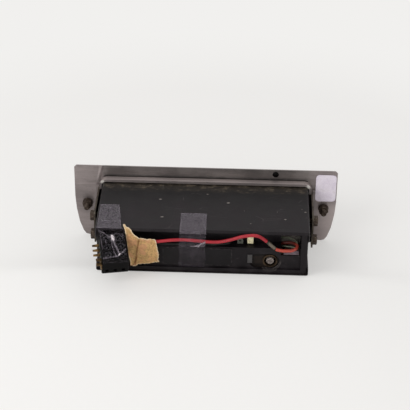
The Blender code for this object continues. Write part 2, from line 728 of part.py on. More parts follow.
def make_stud(bench, side_name, side):
    """A screw from the front with its nut and washer behind the plate."""
    place = (side * STUD_OUT, 0, STUD_HEIGHT)
    head_back = PLATE_FRONT + TOUCH
    head_face = head_back + STUD_HEAD_DEPTH
    profile = ((0, head_face), (STUD_HEAD_RADIUS * STUD_FLAT_SHARE, head_face),
               (STUD_HEAD_RADIUS, head_back + STUD_HEAD_DEPTH / 2), (STUD_HEAD_RADIUS, head_back),
               (STUD_RADIUS, head_back), (STUD_RADIUS, PLATE_BACK - STUD_REACH),
               (0, PLATE_BACK - STUD_REACH))
    turned_part(bench, side_name + "_stud", profile, "rusty_screw", place, SMALL_STEPS)
    washer_front = PLATE_BACK - TOUCH
    nut_front = washer_front - WASHER_DEPTH
    nut_name = side_name + "_nut"
    place_y = nut_front - NUT_DEPTH / 2
    nut = bench.part(nut_name, hex_mesh(nut_name, NUT_WIDTH, NUT_DEPTH), "rusty_screw",
                     (place[0], place_y, STUD_HEIGHT))
    depth = WASHER_DEPTH + NUT_DEPTH / 2
    washer = rod_mesh(nut_name + "_washer", WASHER_RADIUS, depth)
    bench.join(nut, bench.tool(nut_name + "_washer", washer,
                               (place[0], washer_front - depth / 2, STUD_HEIGHT)))
    bore = rod_mesh(nut_name + "_bore", STUD_RADIUS + TOUCH, NUT_DEPTH + WASHER_DEPTH + 2 * OVERRUN)
    bench.cut(nut, bench.tool(nut_name + "_bore", bore, (place[0], place_y, STUD_HEIGHT)))


def make_sticker(bench):
    loop = rounded_loop(STICKER_WIDTH, STICKER_HEIGHT, STICKER_CORNER)
    x = PLATE_WIDTH / 2 - STICKER_SIDE_MARGIN - STICKER_WIDTH / 2
    z = PLATE_HEIGHT - STICKER_TOP_MARGIN - STICKER_HEIGHT / 2
    y = PLATE_BACK - TOUCH - STICKER_DEPTH / 2
    bench.part("paper_sticker", flat_mesh("paper_sticker", [loop], STICKER_DEPTH), "white_paper",
               (x, y, z), UPRIGHT)


def cover_mesh(name, rear, front, half, level, flange, upward, closed_rear):
    """A bent sheet: a flat with side flanges and, if asked, a rear flange."""
    shape = bmesh.new()
    bmesh.ops.create_cube(shape, size=1.0)
    bmesh.ops.scale(shape, vec=(2 * half, front - rear, flange), verts=shape.verts)
    middle = level - flange / 2 if upward else level + flange / 2
    bmesh.ops.translate(shape, vec=(0, (front + rear) / 2, middle), verts=shape.verts)
    shape.normal_update()
    open_faces = [face for face in shape.faces
                  if face.normal.z * (1 if upward else -1) < -0.5 or face.normal.y > 0.5
                  or (not closed_rear and face.normal.y < -0.5)]
    bmesh.ops.delete(shape, geom=open_faces, context="FACES")
    folds = [edge for edge in shape.edges if len(edge.link_faces) == 2]
    bmesh.ops.bevel(shape, geom=folds, offset=COVER_ROUNDING, segments=2, profile=0.5,
                    affect="EDGES", material=-1)
    mesh = bpy.data.meshes.new(name)
    shape.to_mesh(mesh)
    shape.free()
    smooth(mesh)
    return mesh


def thicken(item, sheet):
    step = item.modifiers.new("sheet", "SOLIDIFY")
    step.thickness = sheet
    step.offset = -1
    step.use_even_offset = True
    return item


def make_top_cover(bench):
    front = NOSE
    mesh = cover_mesh("top_cover", REAR, front, HALF_WIDTH, TOP, COVER_FLANGE, True, True)
    cover = thicken(bench.part("top_cover", mesh, "black_paint"), COVER_SHEET)
    # the rear flange is only a lip
    low = (-CHASSIS_HALF, REAR - OVERRUN, TOP - COVER_FLANGE - OVERRUN)
    high = (CHASSIS_HALF, CHASSIS_REAR, TOP - COVER_LIP)
    size, middle = span_box(low, high)
    bench.cut(cover, bench.tool("cover_lip_cut", box_mesh("cover_lip_cut", size), middle))


def make_bottom_cover(bench):
    mesh = cover_mesh("bottom_cover", REAR, NOSE, HALF_WIDTH, BASE, FLOOR_FLANGE, False, False)
    cover = thicken(bench.part("bottom_cover", mesh, "black_paint"), COVER_SHEET)
    middle_y = (REAR + NOSE) / 2
    for number in range(FLOOR_SLOT_COUNT):
        x = (number - (FLOOR_SLOT_COUNT - 1) / 2) * FLOOR_SLOT_PITCH
        slot = box_mesh("floor_slot", (FLOOR_SLOT_WIDTH, FLOOR_SLOT_LENGTH, 2 * OVERRUN))
        bench.cut(cover, bench.tool(f"floor_slot_{number}", slot, (x, middle_y, BASE)))


def key_places():
    return [(number - (KEY_COUNT - 1) / 2) * KEY_PITCH for number in range(KEY_COUNT)]


def make_chassis(bench):
    """The four walls of the box, with every hole that a shaft, stem or bolt goes through."""
    depth = NOSE - CHASSIS_REAR
    middle_y = (NOSE + CHASSIS_REAR) / 2
    outer = rounded_loop(2 * CHASSIS_HALF, depth, CHASSIS_CORNER, (0, middle_y), 1)
    inner = rounded_loop(2 * INNER_HALF, depth - 2 * CHASSIS_WALL, CHASSIS_CORNER / 2, (0, middle_y), 1)
    height = CHASSIS_HIGH - CHASSIS_LOW
    chassis = bench.part("chassis", flat_mesh("chassis", [outer, inner], height), "black_paint",
                         (0, 0, (CHASSIS_HIGH + CHASSIS_LOW) / 2))
    low = (-INNER_HALF + CHASSIS_POST, CHASSIS_REAR - OVERRUN, CHASSIS_LOW + CHASSIS_SILL)
    high = (INNER_HALF - CHASSIS_POST, PANEL_REAR, TOP - COVER_LIP - TOUCH)
    size, middle = span_box(low, high)
    bench.cut(chassis, bench.tool("rear_opening", box_mesh("rear_opening", size), middle))
    wall_y = NOSE - CHASSIS_WALL / 2
    through = CHASSIS_WALL + 2 * OVERRUN
    for side in (-1, 1):
        hole = rod_mesh("shaft_hole", SHAFT_HOLE, through)
        bench.cut(chassis, bench.tool(f"shaft_hole_{side}", hole, (side * KNOB_OUT, wall_y, MIDDLE)))
    for number, x in enumerate(key_places(), 1):
        slot = box_mesh("stem_slot", (STEM_WIDTH + 2 * RUNNING_GAP, through, STEM_HEIGHT + 2 * RUNNING_GAP))
        bench.cut(chassis, bench.tool(f"stem_slot_{number}", slot, (x, wall_y, KEY_MIDDLE)))
    hole = rod_mesh("lamp_hole", LAMP_RADIUS + TOUCH, through)
    bench.cut(chassis, bench.tool("lamp_hole", hole, (LAMP_OUT, wall_y, DIAL_MIDDLE)))
    for side in (-1, 1):
        for number, height in enumerate(BOLT_HEIGHTS, 1):
            hole = rod_mesh("side_hole", BOLT_RADIUS + BOLT_HOLE_SLACK, through, axis="X")
            place = (side * (CHASSIS_HALF - CHASSIS_WALL / 2), PLATE_BACK - BOLT_BACK, height)
            bench.cut(chassis, bench.tool(f"side_hole_{side}_{number}", hole, place))


def make_rear_panel(bench):
    """A stepped sheet: a lower wall, a shelf and a set-back upper wall."""
    low = CHASSIS_LOW + TOUCH
    high = CHASSIS_HIGH - TOUCH
    shelf = BASE + SHELF_HEIGHT
    rear = PANEL_REAR + TOUCH
    deep = rear + SHELF_DEPTH
    sheet = PANEL_SHEET
    loop = [(rear, low), (rear + sheet, low), (rear + sheet, shelf - sheet), (deep + sheet, shelf - sheet),
            (deep + sheet, high), (deep, high), (deep, shelf), (rear, shelf)]
    width = 2 * (INNER_HALF - TOUCH)
    panel = bench.part("rear_panel", flat_mesh("rear_panel", [loop], width), "black_paint",
                       (0, 0, 0), SIDEWAYS)
    size, middle = span_box((NOTCH_LEFT, rear - OVERRUN, BASE + NOTCH_SILL),
                            (NOTCH_LEFT + NOTCH_WIDTH, deep + sheet + OVERRUN, BASE + NOTCH_TOP))
    bench.cut(panel, bench.tool("notch", box_mesh("notch", size), middle))
    oblong = rounded_loop(OBLONG_WIDTH, OBLONG_HEIGHT, OBLONG_HEIGHT / 2, steps=6)
    hole = flat_mesh("oblong_hole", [oblong], sheet + 2 * OVERRUN)
    bench.cut(panel, bench.tool("oblong_hole", hole, (OBLONG_CENTRE, rear + sheet / 2, BASE + OBLONG_LIFT),
                                UPRIGHT))


def make_antenna_socket(bench):
    """A socket tube on its small carrier plate, behind the oblong hole."""
    plate_rear = PANEL_REAR + TOUCH + PANEL_SHEET + TOUCH
    width = OBLONG_WIDTH + 2 * SOCKET_PLATE_MARGIN
    height = OBLONG_HEIGHT + 2 * SOCKET_PLATE_MARGIN
    place = (OBLONG_CENTRE, plate_rear + SOCKET_PLATE / 2, BASE + OBLONG_LIFT)
    plate = bench.part("antenna_socket", box_mesh("antenna_socket", (width, SOCKET_PLATE, height)),
                       "zinc", place)
    front = PANEL_REAR + TOUCH
    tube_middle = front + SOCKET_LENGTH / 2
    where = (SOCKET_OUT, tube_middle, place[2])
    bench.join(plate, bench.tool("socket_tube", rod_mesh("socket_tube", SOCKET_RADIUS, SOCKET_LENGTH, 20),
                                 where))
    bore = rod_mesh("socket_bore", SOCKET_RADIUS - SOCKET_WALL, SOCKET_LENGTH + 2 * OVERRUN, 20)
    bench.cut(plate, bench.tool("socket_bore", bore, where))
    disc_radius = SOCKET_RADIUS - SOCKET_WALL - TOUCH
    rear_end = front + SOCKET_LENGTH
    mid = front + SOCKET_LENGTH * CONTACT_SEAT_SHARE
    profile = ((0, rear_end), (disc_radius, rear_end), (disc_radius, mid), (CONTACT_RADIUS, mid),
               (CONTACT_RADIUS, front), (CONTACT_BORE, front), (CONTACT_BORE, mid), (0, mid))
    turned_part(bench, "antenna_contact", profile, "brass", (SOCKET_OUT, 0, place[2]), SMALL_STEPS)


def make_rear_fittings(bench):
    rear = PANEL_REAR + TOUCH
    loop = rounded_loop(LABEL_WIDTH, LABEL_HEIGHT, LABEL_CORNER)
    bench.part("rear_label", flat_mesh("rear_label", [loop], LABEL_DEPTH), "black_plastic",
               (LABEL_CENTRE, rear - TOUCH - LABEL_DEPTH / 2, BASE + LABEL_LIFT), UPRIGHT)
    shelf = BASE + SHELF_HEIGHT + TOUCH
    block = box_mesh("cream_capacitor", (BLOCK_WIDTH, BLOCK_DEPTH, BLOCK_HEIGHT))
    place = (BLOCK_OUT, rear + BLOCK_INWARD + BLOCK_DEPTH / 2, shelf + BLOCK_HEIGHT / 2)
    bevel(bench.part("cream_capacitor", block, "cream_plastic", place), BLOCK_EDGE)
    trimmer = rod_mesh("grey_trimmer", TRIMMER_RADIUS, BLOCK_DEPTH, SMALL_STEPS)
    place = (TRIMMER_OUT, rear + BLOCK_INWARD + BLOCK_DEPTH / 2, shelf + TRIMMER_LENGTH / 2)
    body = bench.part("grey_trimmer", trimmer, "grey_plastic", place)
    foot_height = TRIMMER_LENGTH / 2
    foot = box_mesh("trimmer_foot", (2 * TRIMMER_RADIUS, BLOCK_DEPTH, foot_height))
    bench.join(body, bench.tool("trimmer_foot", foot, (TRIMMER_OUT, place[1], shelf + foot_height / 2)))
    bore = rod_mesh("trimmer_bore", TRIMMER_BORE, BLOCK_DEPTH)
    bench.cut(body, bench.tool("trimmer_bore", bore, (TRIMMER_OUT, place[1] - BLOCK_DEPTH / 2, place[2])))


def plug_turn():
    return Matrix.Rotation(PLUG_YAW, 3, "Z") @ Matrix.Rotation(PLUG_TIP, 3, "X")


def plug_frame():
    """The plug's turn and the place of its middle, with its rearmost corner at its reach."""
    turn = plug_turn()
    half = Vector((PLUG_WIDTH, PLUG_DEPTH, PLUG_HEIGHT)) / 2
    # a cut corner has three points, each on one of the box's faces
    corners = []
    for whole in (Vector((1, 0, 0)), Vector((0, 1, 0)), Vector((0, 0, 1))):
        point = half - PLUG_EDGE * (Vector((1, 1, 1)) - whole)
        corners += [turn @ Vector((point.x * a, -point.y, point.z * b)) for a in (-1, 1) for b in (-1, 1)]
    back = min(corner.y for corner in corners)
    middle = Vector((PLUG_OUT, REAR - PLUG_REACH - back, BASE + PLUG_LIFT))
    return turn, middle


def make_plug(bench):
    """The multi-pole plug, tipped and turned as the tape holds it."""
    turn, middle = plug_frame()
    angles = turn.to_euler()

    def seat(x, y, z):
        return middle + turn @ Vector((x, y, z))

    body = bench.part("plug_body", box_mesh("plug_body", (PLUG_WIDTH, PLUG_DEPTH, PLUG_HEIGHT)),
                      "black_plastic", middle, angles)
    bevel(body, PLUG_EDGE)
    upright = rod_mesh("plug_well", PLUG_WELL_RADIUS, 2 * PLUG_WELL_DEPTH, 12, "Z")
    for column in range(PLUG_WELL_COLUMN_COUNT):
        x = (column - (PLUG_WELL_COLUMN_COUNT - 1) / 2) * PLUG_WELL_COLUMN_PITCH
        for row in range(PLUG_WELL_ROW_COUNT):
            y = (row - (PLUG_WELL_ROW_COUNT - 1) / 2) * PLUG_WELL_ROW_PITCH
            well = bench.tool(f"plug_well_{column}_{row}", upright, seat(x, y, PLUG_HEIGHT / 2), angles)
            bench.cut(body, well)
    for number in range(PRONG_COUNT):
        x = (number - (PRONG_COUNT - 1) / 2) * PLUG_SOCKET_PITCH
        z = -PLUG_HEIGHT / 2 + PLUG_SOCKET_LIFT
        shape = box_mesh("plug_socket", (PLUG_SOCKET_WIDTH, 2 * PLUG_SOCKET_DEPTH, PLUG_SOCKET_WIDTH))
        bench.cut(body, bench.tool(f"plug_socket_{number}", shape, seat(x, -PLUG_DEPTH / 2, z), angles))
    for number in range(PRONG_COUNT):
        y = PRONG_BACK - number * PRONG_PITCH
        x = -PLUG_WIDTH / 2 - TOUCH - PRONG_LENGTH / 2
        z = PLUG_HEIGHT / 2 - PRONG_DROP
        name = f"plug_contact_{number + 1}"
        prong = box_mesh(name, (PRONG_LENGTH, PRONG_WIDTH, PRONG_SHEET))
        bench.part(name, prong, "brass", seat(x, y, z), angles)


def make_leads(bench):
    lead(bench, "red_lead", RED_ROUTE, LEAD_RADIUS, "red_plastic")
    lead(bench, "supply_loop", LOOP_ROUTE, LEAD_RADIUS, "red_plastic")
    lead(bench, "splice_sleeve", SPLICE_ROUTE, SLEEVE_RADIUS, "grey_plastic", 1)
    lead(bench, "black_lead", BLACK_ROUTE, THIN_LEAD_RADIUS, "black_plastic")


def make_kraft_tape(bench):
    """The paper tape beside the plug."""
    # the paper hangs over the lead and slants to the lower wall; its torn edge is cut out of the strip
    x0, z0 = KRAFT_ANCHOR
    near = REAR - KRAFT_OUT
    wall = PANEL_REAR
    high = BASE + z0
    fold = BASE + KRAFT_FOLD
    tail = BASE + KRAFT_TAIL
    strip = [(near, high), (near - KRAFT_SHEET, high), (near - KRAFT_SHEET, fold),
             (wall - KRAFT_SHEET, tail), (wall, tail), (near, fold)]
    paper = bench.part("kraft_tape", flat_mesh("kraft_tape", [strip], 2 * KRAFT_WIDTH), "kraft_paper",
                       (x0, 0, 0), SIDEWAYS)
    torn = [(x0 + KRAFT_WIDTH * across, high - KRAFT_HEIGHT * down) for across, down in KRAFT_SHARES]
    depth = 2 * (COVER_REACH - KRAFT_OUT)
    edge = flat_mesh("torn_edge", [torn], depth)
    bench.combine(paper, bench.tool("torn_edge", edge, (0, near, 0), UPRIGHT), "INTERSECT")


def make_clear_tapes(bench):
    """The patch on the cover and the strip that holds the red lead."""
    level = TOP + TOUCH
    rear = REAR + COVER_ROUNDING
    loop = [(PATCH_LEFT, rear), (PATCH_LEFT + PATCH_WIDTH + PATCH_TAPER, rear),
            (PATCH_LEFT + PATCH_WIDTH, rear + PATCH_LENGTH), (PATCH_LEFT, rear + PATCH_LENGTH)]
    bench.part("clear_tape_left", flat_mesh("clear_tape_left", [loop], TAPE_SHEET), "clear_plastic",
               (0, 0, level + TAPE_SHEET / 2))
    # the middle strip runs over the cover's edge and the red lead, and down the lower wall
    out = REAR - STRIP_BULGE
    sheet = TAPE_SHEET
    low_y = REAR - TOUCH
    loop = [(REAR + STRIP_LENGTH, level), (REAR - TOUCH, level), (out, BASE + STRIP_BULGE_LOW + sheet),
            (low_y - sheet, BASE + STRIP_TAIL + SHELF_HEIGHT / 2), (low_y - sheet, BASE + STRIP_TAIL)]
    outer = [(low_y - 2 * sheet, BASE + STRIP_TAIL),
             (low_y - 2 * sheet, BASE + STRIP_TAIL + SHELF_HEIGHT / 2),
             (out - sheet, BASE + STRIP_BULGE_LOW + sheet), (REAR - TOUCH - sheet / 2, level + sheet),
             (REAR + STRIP_LENGTH, level + sheet)]
    bench.part("clear_tape_middle", flat_mesh("clear_tape_middle", [loop + outer], STRIP_WIDTH),
               "clear_plastic", (STRIP_LEFT + STRIP_WIDTH / 2, 0, 0), SIDEWAYS)


def make_bezel(bench):
    """The front frame with its dial window, key slot and shaft holes."""
    loop = rounded_loop(BEZEL_WIDTH, BEZEL_HEIGHT, BEZEL_CORNER, (0, MIDDLE), 4)
    middle_y = BEZEL_BACK + BEZEL_DEPTH / 2
    frame = flat_mesh("bezel", [loop], BEZEL_DEPTH)
    bezel = bevel(bench.part("bezel", frame, "chrome", (0, middle_y, 0), UPRIGHT), BEZEL_EDGE)
    cuts = {
        "dial_window": ((-DIAL_WIDTH / 2, BEZEL_BACK, DIAL_BASE),
                        (DIAL_WIDTH / 2, BEZEL_FACE + OVERRUN, DIAL_TOP)),
        "dial_pocket": ((-DIAL_WIDTH / 2 - POCKET_SIDE, BEZEL_BACK - OVERRUN, DIAL_BASE - TOUCH),
                        (DIAL_WIDTH / 2 + POCKET_SIDE, BEZEL_FACE - DIAL_LIP, DIAL_TOP + POCKET_RISE)),
        "key_slot": ((key_places()[0] - KEY_WIDTH / 2 - 2 * RUNNING_GAP, BEZEL_BACK - OVERRUN,
                      KEY_MIDDLE - KEY_HEIGHT / 2 - RUNNING_GAP),
                     (key_places()[-1] + KEY_WIDTH / 2 + 2 * RUNNING_GAP, BEZEL_FACE + OVERRUN,
                      KEY_MIDDLE + KEY_HEIGHT / 2 + RUNNING_GAP)),
    }
    for name, (low, high) in cuts.items():
        size, middle = span_box(low, high)
        bench.cut(bezel, bench.tool(name, box_mesh(name, size), middle))
    for side in (-1, 1):
        hole = rod_mesh("bezel_hole", SHAFT_HOLE, BEZEL_DEPTH + 2 * OVERRUN)
        bench.cut(bezel, bench.tool(f"bezel_hole_{side}", hole, (side * KNOB_OUT, middle_y, MIDDLE)))


def make_dial(bench):
    front = BEZEL_FACE - GLASS_SINK
    size, middle = span_box((-DIAL_WIDTH / 2 + TOUCH, front - GLASS_DEPTH, DIAL_BASE + TOUCH),
                            (DIAL_WIDTH / 2 - TOUCH, front, DIAL_TOP - TOUCH))
    bench.part("dial_glass", box_mesh("dial_glass", size), "clear_plastic", middle)
    half = DIAL_WIDTH / 2 + POCKET_SIDE - TOUCH
    size, middle = span_box((-half, BEZEL_BACK, DIAL_BASE), (half, BEZEL_BACK + SCALE_DEPTH, DIAL_TOP))
    bench.part("dial_scale", box_mesh("dial_scale", size), "lit_scale", middle)
    rail_y = BEZEL_BACK + RAIL_FRONT
    rail_z = DIAL_TOP + RAIL_RISE
    rail = rod_mesh("pointer_rail", RAIL_RADIUS, 2 * half, 12, "X")
    bench.part("pointer_rail", rail, "zinc", (0, rail_y, rail_z))
    lamp = rod_mesh("dial_lamp", LAMP_RADIUS, LAMP_LENGTH)
    bench.part("dial_lamp", lamp, "clear_plastic", (LAMP_OUT, NOSE - LAMP_LENGTH / 2, DIAL_MIDDLE))


def make_pointer(bench):
    """The carriage that slides on the rail, with its needle hanging over the scale."""
    rail_y = BEZEL_BACK + RAIL_FRONT
    rail_z = DIAL_TOP + RAIL_RISE
    body = bench.part("pointer", box_mesh("pointer", (POINTER_WIDTH, POINTER_DEPTH, POINTER_HEIGHT)),
                      "red_plastic", (0, rail_y, rail_z))
    needle_y = BEZEL_BACK + SCALE_DEPTH + RUNNING_GAP + NEEDLE_DEPTH / 2 + RUNNING_GAP
    size, middle = span_box((-NEEDLE_WIDTH / 2, needle_y - NEEDLE_DEPTH / 2, DIAL_BASE + NEEDLE_WIDTH),
                            (NEEDLE_WIDTH / 2, needle_y + NEEDLE_DEPTH / 2, rail_z))
    bench.join(body, bench.tool("needle", box_mesh("needle", size), middle))
    bore = rod_mesh("pointer_bore", RAIL_RADIUS + RUNNING_GAP, POINTER_WIDTH + 2 * OVERRUN, 12, "X")
    bench.cut(body, bench.tool("pointer_bore", bore, (0, rail_y, rail_z)))


def make_keys(bench):
    """Each key is a cap with a stem that slides in the chassis front."""
    face = BEZEL_FACE + KEY_OUT
    for number, x in enumerate(key_places(), 1):
        name = f"preset_key_{number}"
        origin = (x, face - KEY_BODY / 2, KEY_MIDDLE)
        cap = bench.part(name, box_mesh(name, (KEY_WIDTH, KEY_BODY, KEY_HEIGHT)), "black_plastic", origin)
        bevel(cap, KEY_EDGE)
        size, middle = span_box((x - STEM_WIDTH / 2, INNER_FRONT - STEM_LENGTH,
                                 KEY_MIDDLE - STEM_HEIGHT / 2),
                                (x + STEM_WIDTH / 2, face - KEY_BODY / 2, KEY_MIDDLE + STEM_HEIGHT / 2))
        bench.join(cap, bench.tool(name + "_stem", box_mesh(name + "_stem", size), middle))


def knob_profile(radius, back, bore):
    """A knob with a dished face, a chamfered rim and a blind bore, from front to rear."""
    front = back + KNOB_LENGTH
    return [(0, front - KNOB_DISH), (radius - 2 * KNOB_CHAMFER, front), (radius - KNOB_CHAMFER, front),
            (radius, front - KNOB_CHAMFER), (radius, back), (bore, back), (bore, back + KNOB_SOCKET),
            (0, back + KNOB_SOCKET)]


def make_volume_side(bench):
    """Volume knob and shaft, the tone ring round them, and the control that both turn."""
    centre = (-KNOB_OUT, 0, MIDDLE)
    bore = VOLUME_SHAFT_RADIUS + TOUCH
    turned_part(bench, "volume_knob", knob_profile(KNOB_RADIUS, KNOB_BACK, bore), "black_plastic", centre)
    shaft_front = KNOB_BACK + KNOB_SOCKET - TOUCH
    shaft_rear = INNER_FRONT - CONTROL_DEPTH + TOUCH
    length = shaft_front - shaft_rear
    bench.part("volume_shaft", rod_mesh("volume_shaft", VOLUME_SHAFT_RADIUS, length), "zinc",
               (-KNOB_OUT, (shaft_front + shaft_rear) / 2, MIDDLE))
    sleeve_rear = INNER_FRONT - CONTROL_DEPTH / 2
    ring_front = RING_BACK + RING_DEPTH
    profile = [(SLEEVE_BORE, ring_front), (RING_RADIUS - RING_CHAMFER, ring_front),
               (RING_RADIUS, ring_front - RING_CHAMFER), (RING_RADIUS, RING_BACK),
               (SLEEVE_RADIUS_OUT, RING_BACK), (SLEEVE_RADIUS_OUT, sleeve_rear), (SLEEVE_BORE, sleeve_rear)]
    turned_part(bench, "tone_ring", profile, "chrome", centre, closed=True)
    back = INNER_FRONT - TOUCH
    profile = [(CONTROL_BORE, BEZEL_FACE), (BUSH_RADIUS, BEZEL_FACE), (BUSH_RADIUS, back),
               (CONTROL_RADIUS, back), (CONTROL_RADIUS, back - CONTROL_DEPTH),
               (CONTROL_BORE, back - CONTROL_DEPTH)]
    turned_part(bench, "volume_control", profile, "zinc", centre, closed=True)


def tooth_loop(teeth, phase):
    """A gear's outline. Each tooth takes four points: root, tip, tip, root."""
    pitch_radius = GEAR_MODULE * teeth / 2
    tip = pitch_radius + GEAR_MODULE * TOOTH_ADDENDUM_SHARE
    root = pitch_radius - GEAR_MODULE * TOOTH_DEDENDUM_SHARE
    step = 2 * math.pi / teeth
    loop = []
    for tooth in range(teeth):
        middle = phase + tooth * step
        for share, radius in ((-TOOTH_ROOT_SHARE, root), (-TOOTH_TIP_SHARE, tip),
                              (TOOTH_TIP_SHARE, tip), (TOOTH_ROOT_SHARE, root)):
            angle = middle + share * step
            loop.append((radius * math.cos(angle), radius * math.sin(angle)))
    return loop


def make_tuning_side(bench):
    """Tuning knob, its bearing, and the shaft with the pinion cut on its end."""
    centre = (KNOB_OUT, 0, MIDDLE)
    bore = TUNING_SHAFT_RADIUS + TOUCH
    front = KNOB_BACK + KNOB_LENGTH
    skirt_front = RING_BACK + RING_DEPTH
    profile = [(0, front - KNOB_DISH), (KNOB_RADIUS - 2 * KNOB_CHAMFER, front),
               (KNOB_RADIUS - KNOB_CHAMFER, front), (KNOB_RADIUS, front - KNOB_CHAMFER),
               (KNOB_RADIUS, skirt_front), (RING_RADIUS - RING_CHAMFER, skirt_front),
               (RING_RADIUS, skirt_front - RING_CHAMFER), (RING_RADIUS, RING_BACK), (bore, RING_BACK),
               (bore, RING_BACK + KNOB_SOCKET), (0, RING_BACK + KNOB_SOCKET)]
    turned_part(bench, "tuning_knob", profile, "black_plastic", centre)
    back = INNER_FRONT - TOUCH
    profile = [(BEARING_BORE, BEZEL_FACE), (BEARING_BUSH, BEZEL_FACE), (BEARING_BUSH, back),
               (BEARING_RADIUS, back), (BEARING_RADIUS, back - BEARING_DEPTH),
               (BEARING_BORE, back - BEARING_DEPTH)]
    turned_part(bench, "tuning_bearing", profile, "zinc", centre, closed=True)
    shaft_front = RING_BACK + KNOB_SOCKET - TOUCH
    shoulder = INNER_FRONT - BEARING_DEPTH
    tail = PINION_PITCH - GEAR_MODULE * TOOTH_DEDENDUM_SHARE - TOUCH
    shaft_rear = shoulder - TOUCH - PINION_DEPTH - PINION_TAIL
    profile = [(0, shaft_front), (TUNING_SHAFT_RADIUS, shaft_front), (TUNING_SHAFT_RADIUS, shoulder),
               (tail, shoulder), (tail, shaft_rear), (0, shaft_rear)]
    shaft = turned_part(bench, "tuning_shaft", profile, "zinc", centre, SMALL_STEPS)
    teeth = flat_mesh("pinion_teeth", [tooth_loop(PINION_TEETH, 0)], PINION_DEPTH)
    pinion_y = GEAR_FRONT - 2 * TOUCH - PINION_DEPTH / 2
    bench.join(shaft, bench.tool("pinion_teeth", teeth, (KNOB_OUT, pinion_y, MIDDLE), UPRIGHT))


def gear_middle_y():
    return GEAR_FRONT - 2 * TOUCH - PINION_DEPTH / 2


def make_gear(bench):
    """The large gear on its axle, with a gap between teeth facing the pinion and the rack's tooth."""
    half_tooth = math.pi / GEAR_TEETH
    loop = tooth_loop(GEAR_TEETH, half_tooth)
    bore_radius = AXLE_RADIUS + RUNNING_GAP
    bore = [(bore_radius * math.cos(a), bore_radius * math.sin(a))
            for a in (2 * math.pi * n / SMALL_STEPS for n in range(SMALL_STEPS))]
    y = gear_middle_y()
    bench.part("tuning_gear", flat_mesh("tuning_gear", [loop, bore], GEAR_DEPTH), "brass",
               (GEAR_OUT, y, MIDDLE), UPRIGHT)
    head_front = y - GEAR_DEPTH / 2 - RUNNING_GAP
    profile = [(0, INNER_FRONT - TOUCH), (AXLE_RADIUS, INNER_FRONT - TOUCH), (AXLE_RADIUS, head_front),
               (AXLE_HEAD_RADIUS, head_front), (AXLE_HEAD_RADIUS, head_front - AXLE_HEAD_DEPTH),
               (0, head_front - AXLE_HEAD_DEPTH)]
    turned_part(bench, "gear_axle", profile, "zinc", (GEAR_OUT, 0, MIDDLE), SMALL_STEPS)


def rack_levels():
    """Heights of the rack's tooth tips and roots over its pitch line, teeth down."""
    return -GEAR_MODULE * TOOTH_ADDENDUM_SHARE, GEAR_MODULE * TOOTH_DEDENDUM_SHARE


def rack_tooth_count():
    return int(2 * RACK_HALF_LENGTH / (math.pi * GEAR_MODULE))


def rack_half_length():
    return rack_tooth_count() / 2 * math.pi * GEAR_MODULE


def rack_gaps_mesh():
    """The gaps between the rack's teeth, as one cutter. A tooth stands at each end and the middle."""
    pitch = math.pi * GEAR_MODULE
    tip, root = rack_levels()
    low = tip - GEAR_MODULE * TOOTH_GULLET_SHARE
    flare = 2 * (TOOTH_ROOT_SHARE - TOOTH_TIP_SHARE) * pitch / (root - tip)
    root_gap = (1 - 2 * TOOTH_ROOT_SHARE) * pitch
    shape = bmesh.new()
    for number in range(rack_tooth_count() + 1):
        middle = number * pitch - rack_half_length()
        made = bmesh.ops.create_cube(shape, size=1.0)["verts"]
        for vert in made:
            up = root if vert.co.y > 0 else low
            width = root_gap + flare * (root - up)
            vert.co = (middle + width * vert.co.x, up, 2 * GEAR_DEPTH * vert.co.z)
    mesh = bpy.data.meshes.new("rack_gaps")
    shape.to_mesh(mesh)
    shape.free()
    return mesh


def core_levels():
    """Heights of the cores, from the lowest up."""
    low = MIDDLE - CORE_PITCH
    return [low + number * CORE_PITCH for number in range(CORE_COUNT)]


def make_core_carriage(bench):
    """The rack, an arm to the rear, and the plate that carries the tuning cores."""
    y = gear_middle_y()
    tip, root = rack_levels()
    end = rack_half_length()
    size, middle = span_box((-end, -GEAR_DEPTH / 2, tip), (end, GEAR_DEPTH / 2, root + RACK_BODY))
    rack = bench.part("core_carriage", box_mesh("core_carriage", size), "zinc",
                      (GEAR_OUT, y, RACK_PITCH_LINE + middle[2]))
    bench.cut(rack, bench.tool("rack_gaps", rack_gaps_mesh(), (GEAR_OUT, y, RACK_PITCH_LINE), UPRIGHT))
    root_level = RACK_PITCH_LINE + root
    left = GEAR_OUT - end
    arm_low = root_level + (RACK_BODY - ARM_HEIGHT) / 2
    core_front = INNER_FRONT - CORE_BACK + COIL_DEPTH / 2
    core_rear = INNER_FRONT - CORE_BACK - COIL_DEPTH / 2
    size, middle = span_box((left, core_rear, arm_low), (left + ARM_WIDTH, y, arm_low + ARM_HEIGHT))
    bench.join(rack, bench.tool("carriage_arm", box_mesh("carriage_arm", size), middle))
    plate_high = arm_low + ARM_HEIGHT / 2
    size, middle = span_box((left, core_rear, plate_high - CORE_PLATE_HEIGHT),
                            (left + CORE_PLATE, core_front, plate_high))
    bench.join(rack, bench.tool("core_plate", box_mesh("core_plate", size), middle))
    for number, level in enumerate(core_levels(), 1):
        ends = (left - CORE_LENGTH, left + CORE_PLATE / 2)
        core = rod_mesh("core", CORE_RADIUS, ends[1] - ends[0], 12, "X")
        place = (sum(ends) / 2, INNER_FRONT - CORE_BACK, level)
        bench.join(rack, bench.tool(f"core_{number}", core, place))


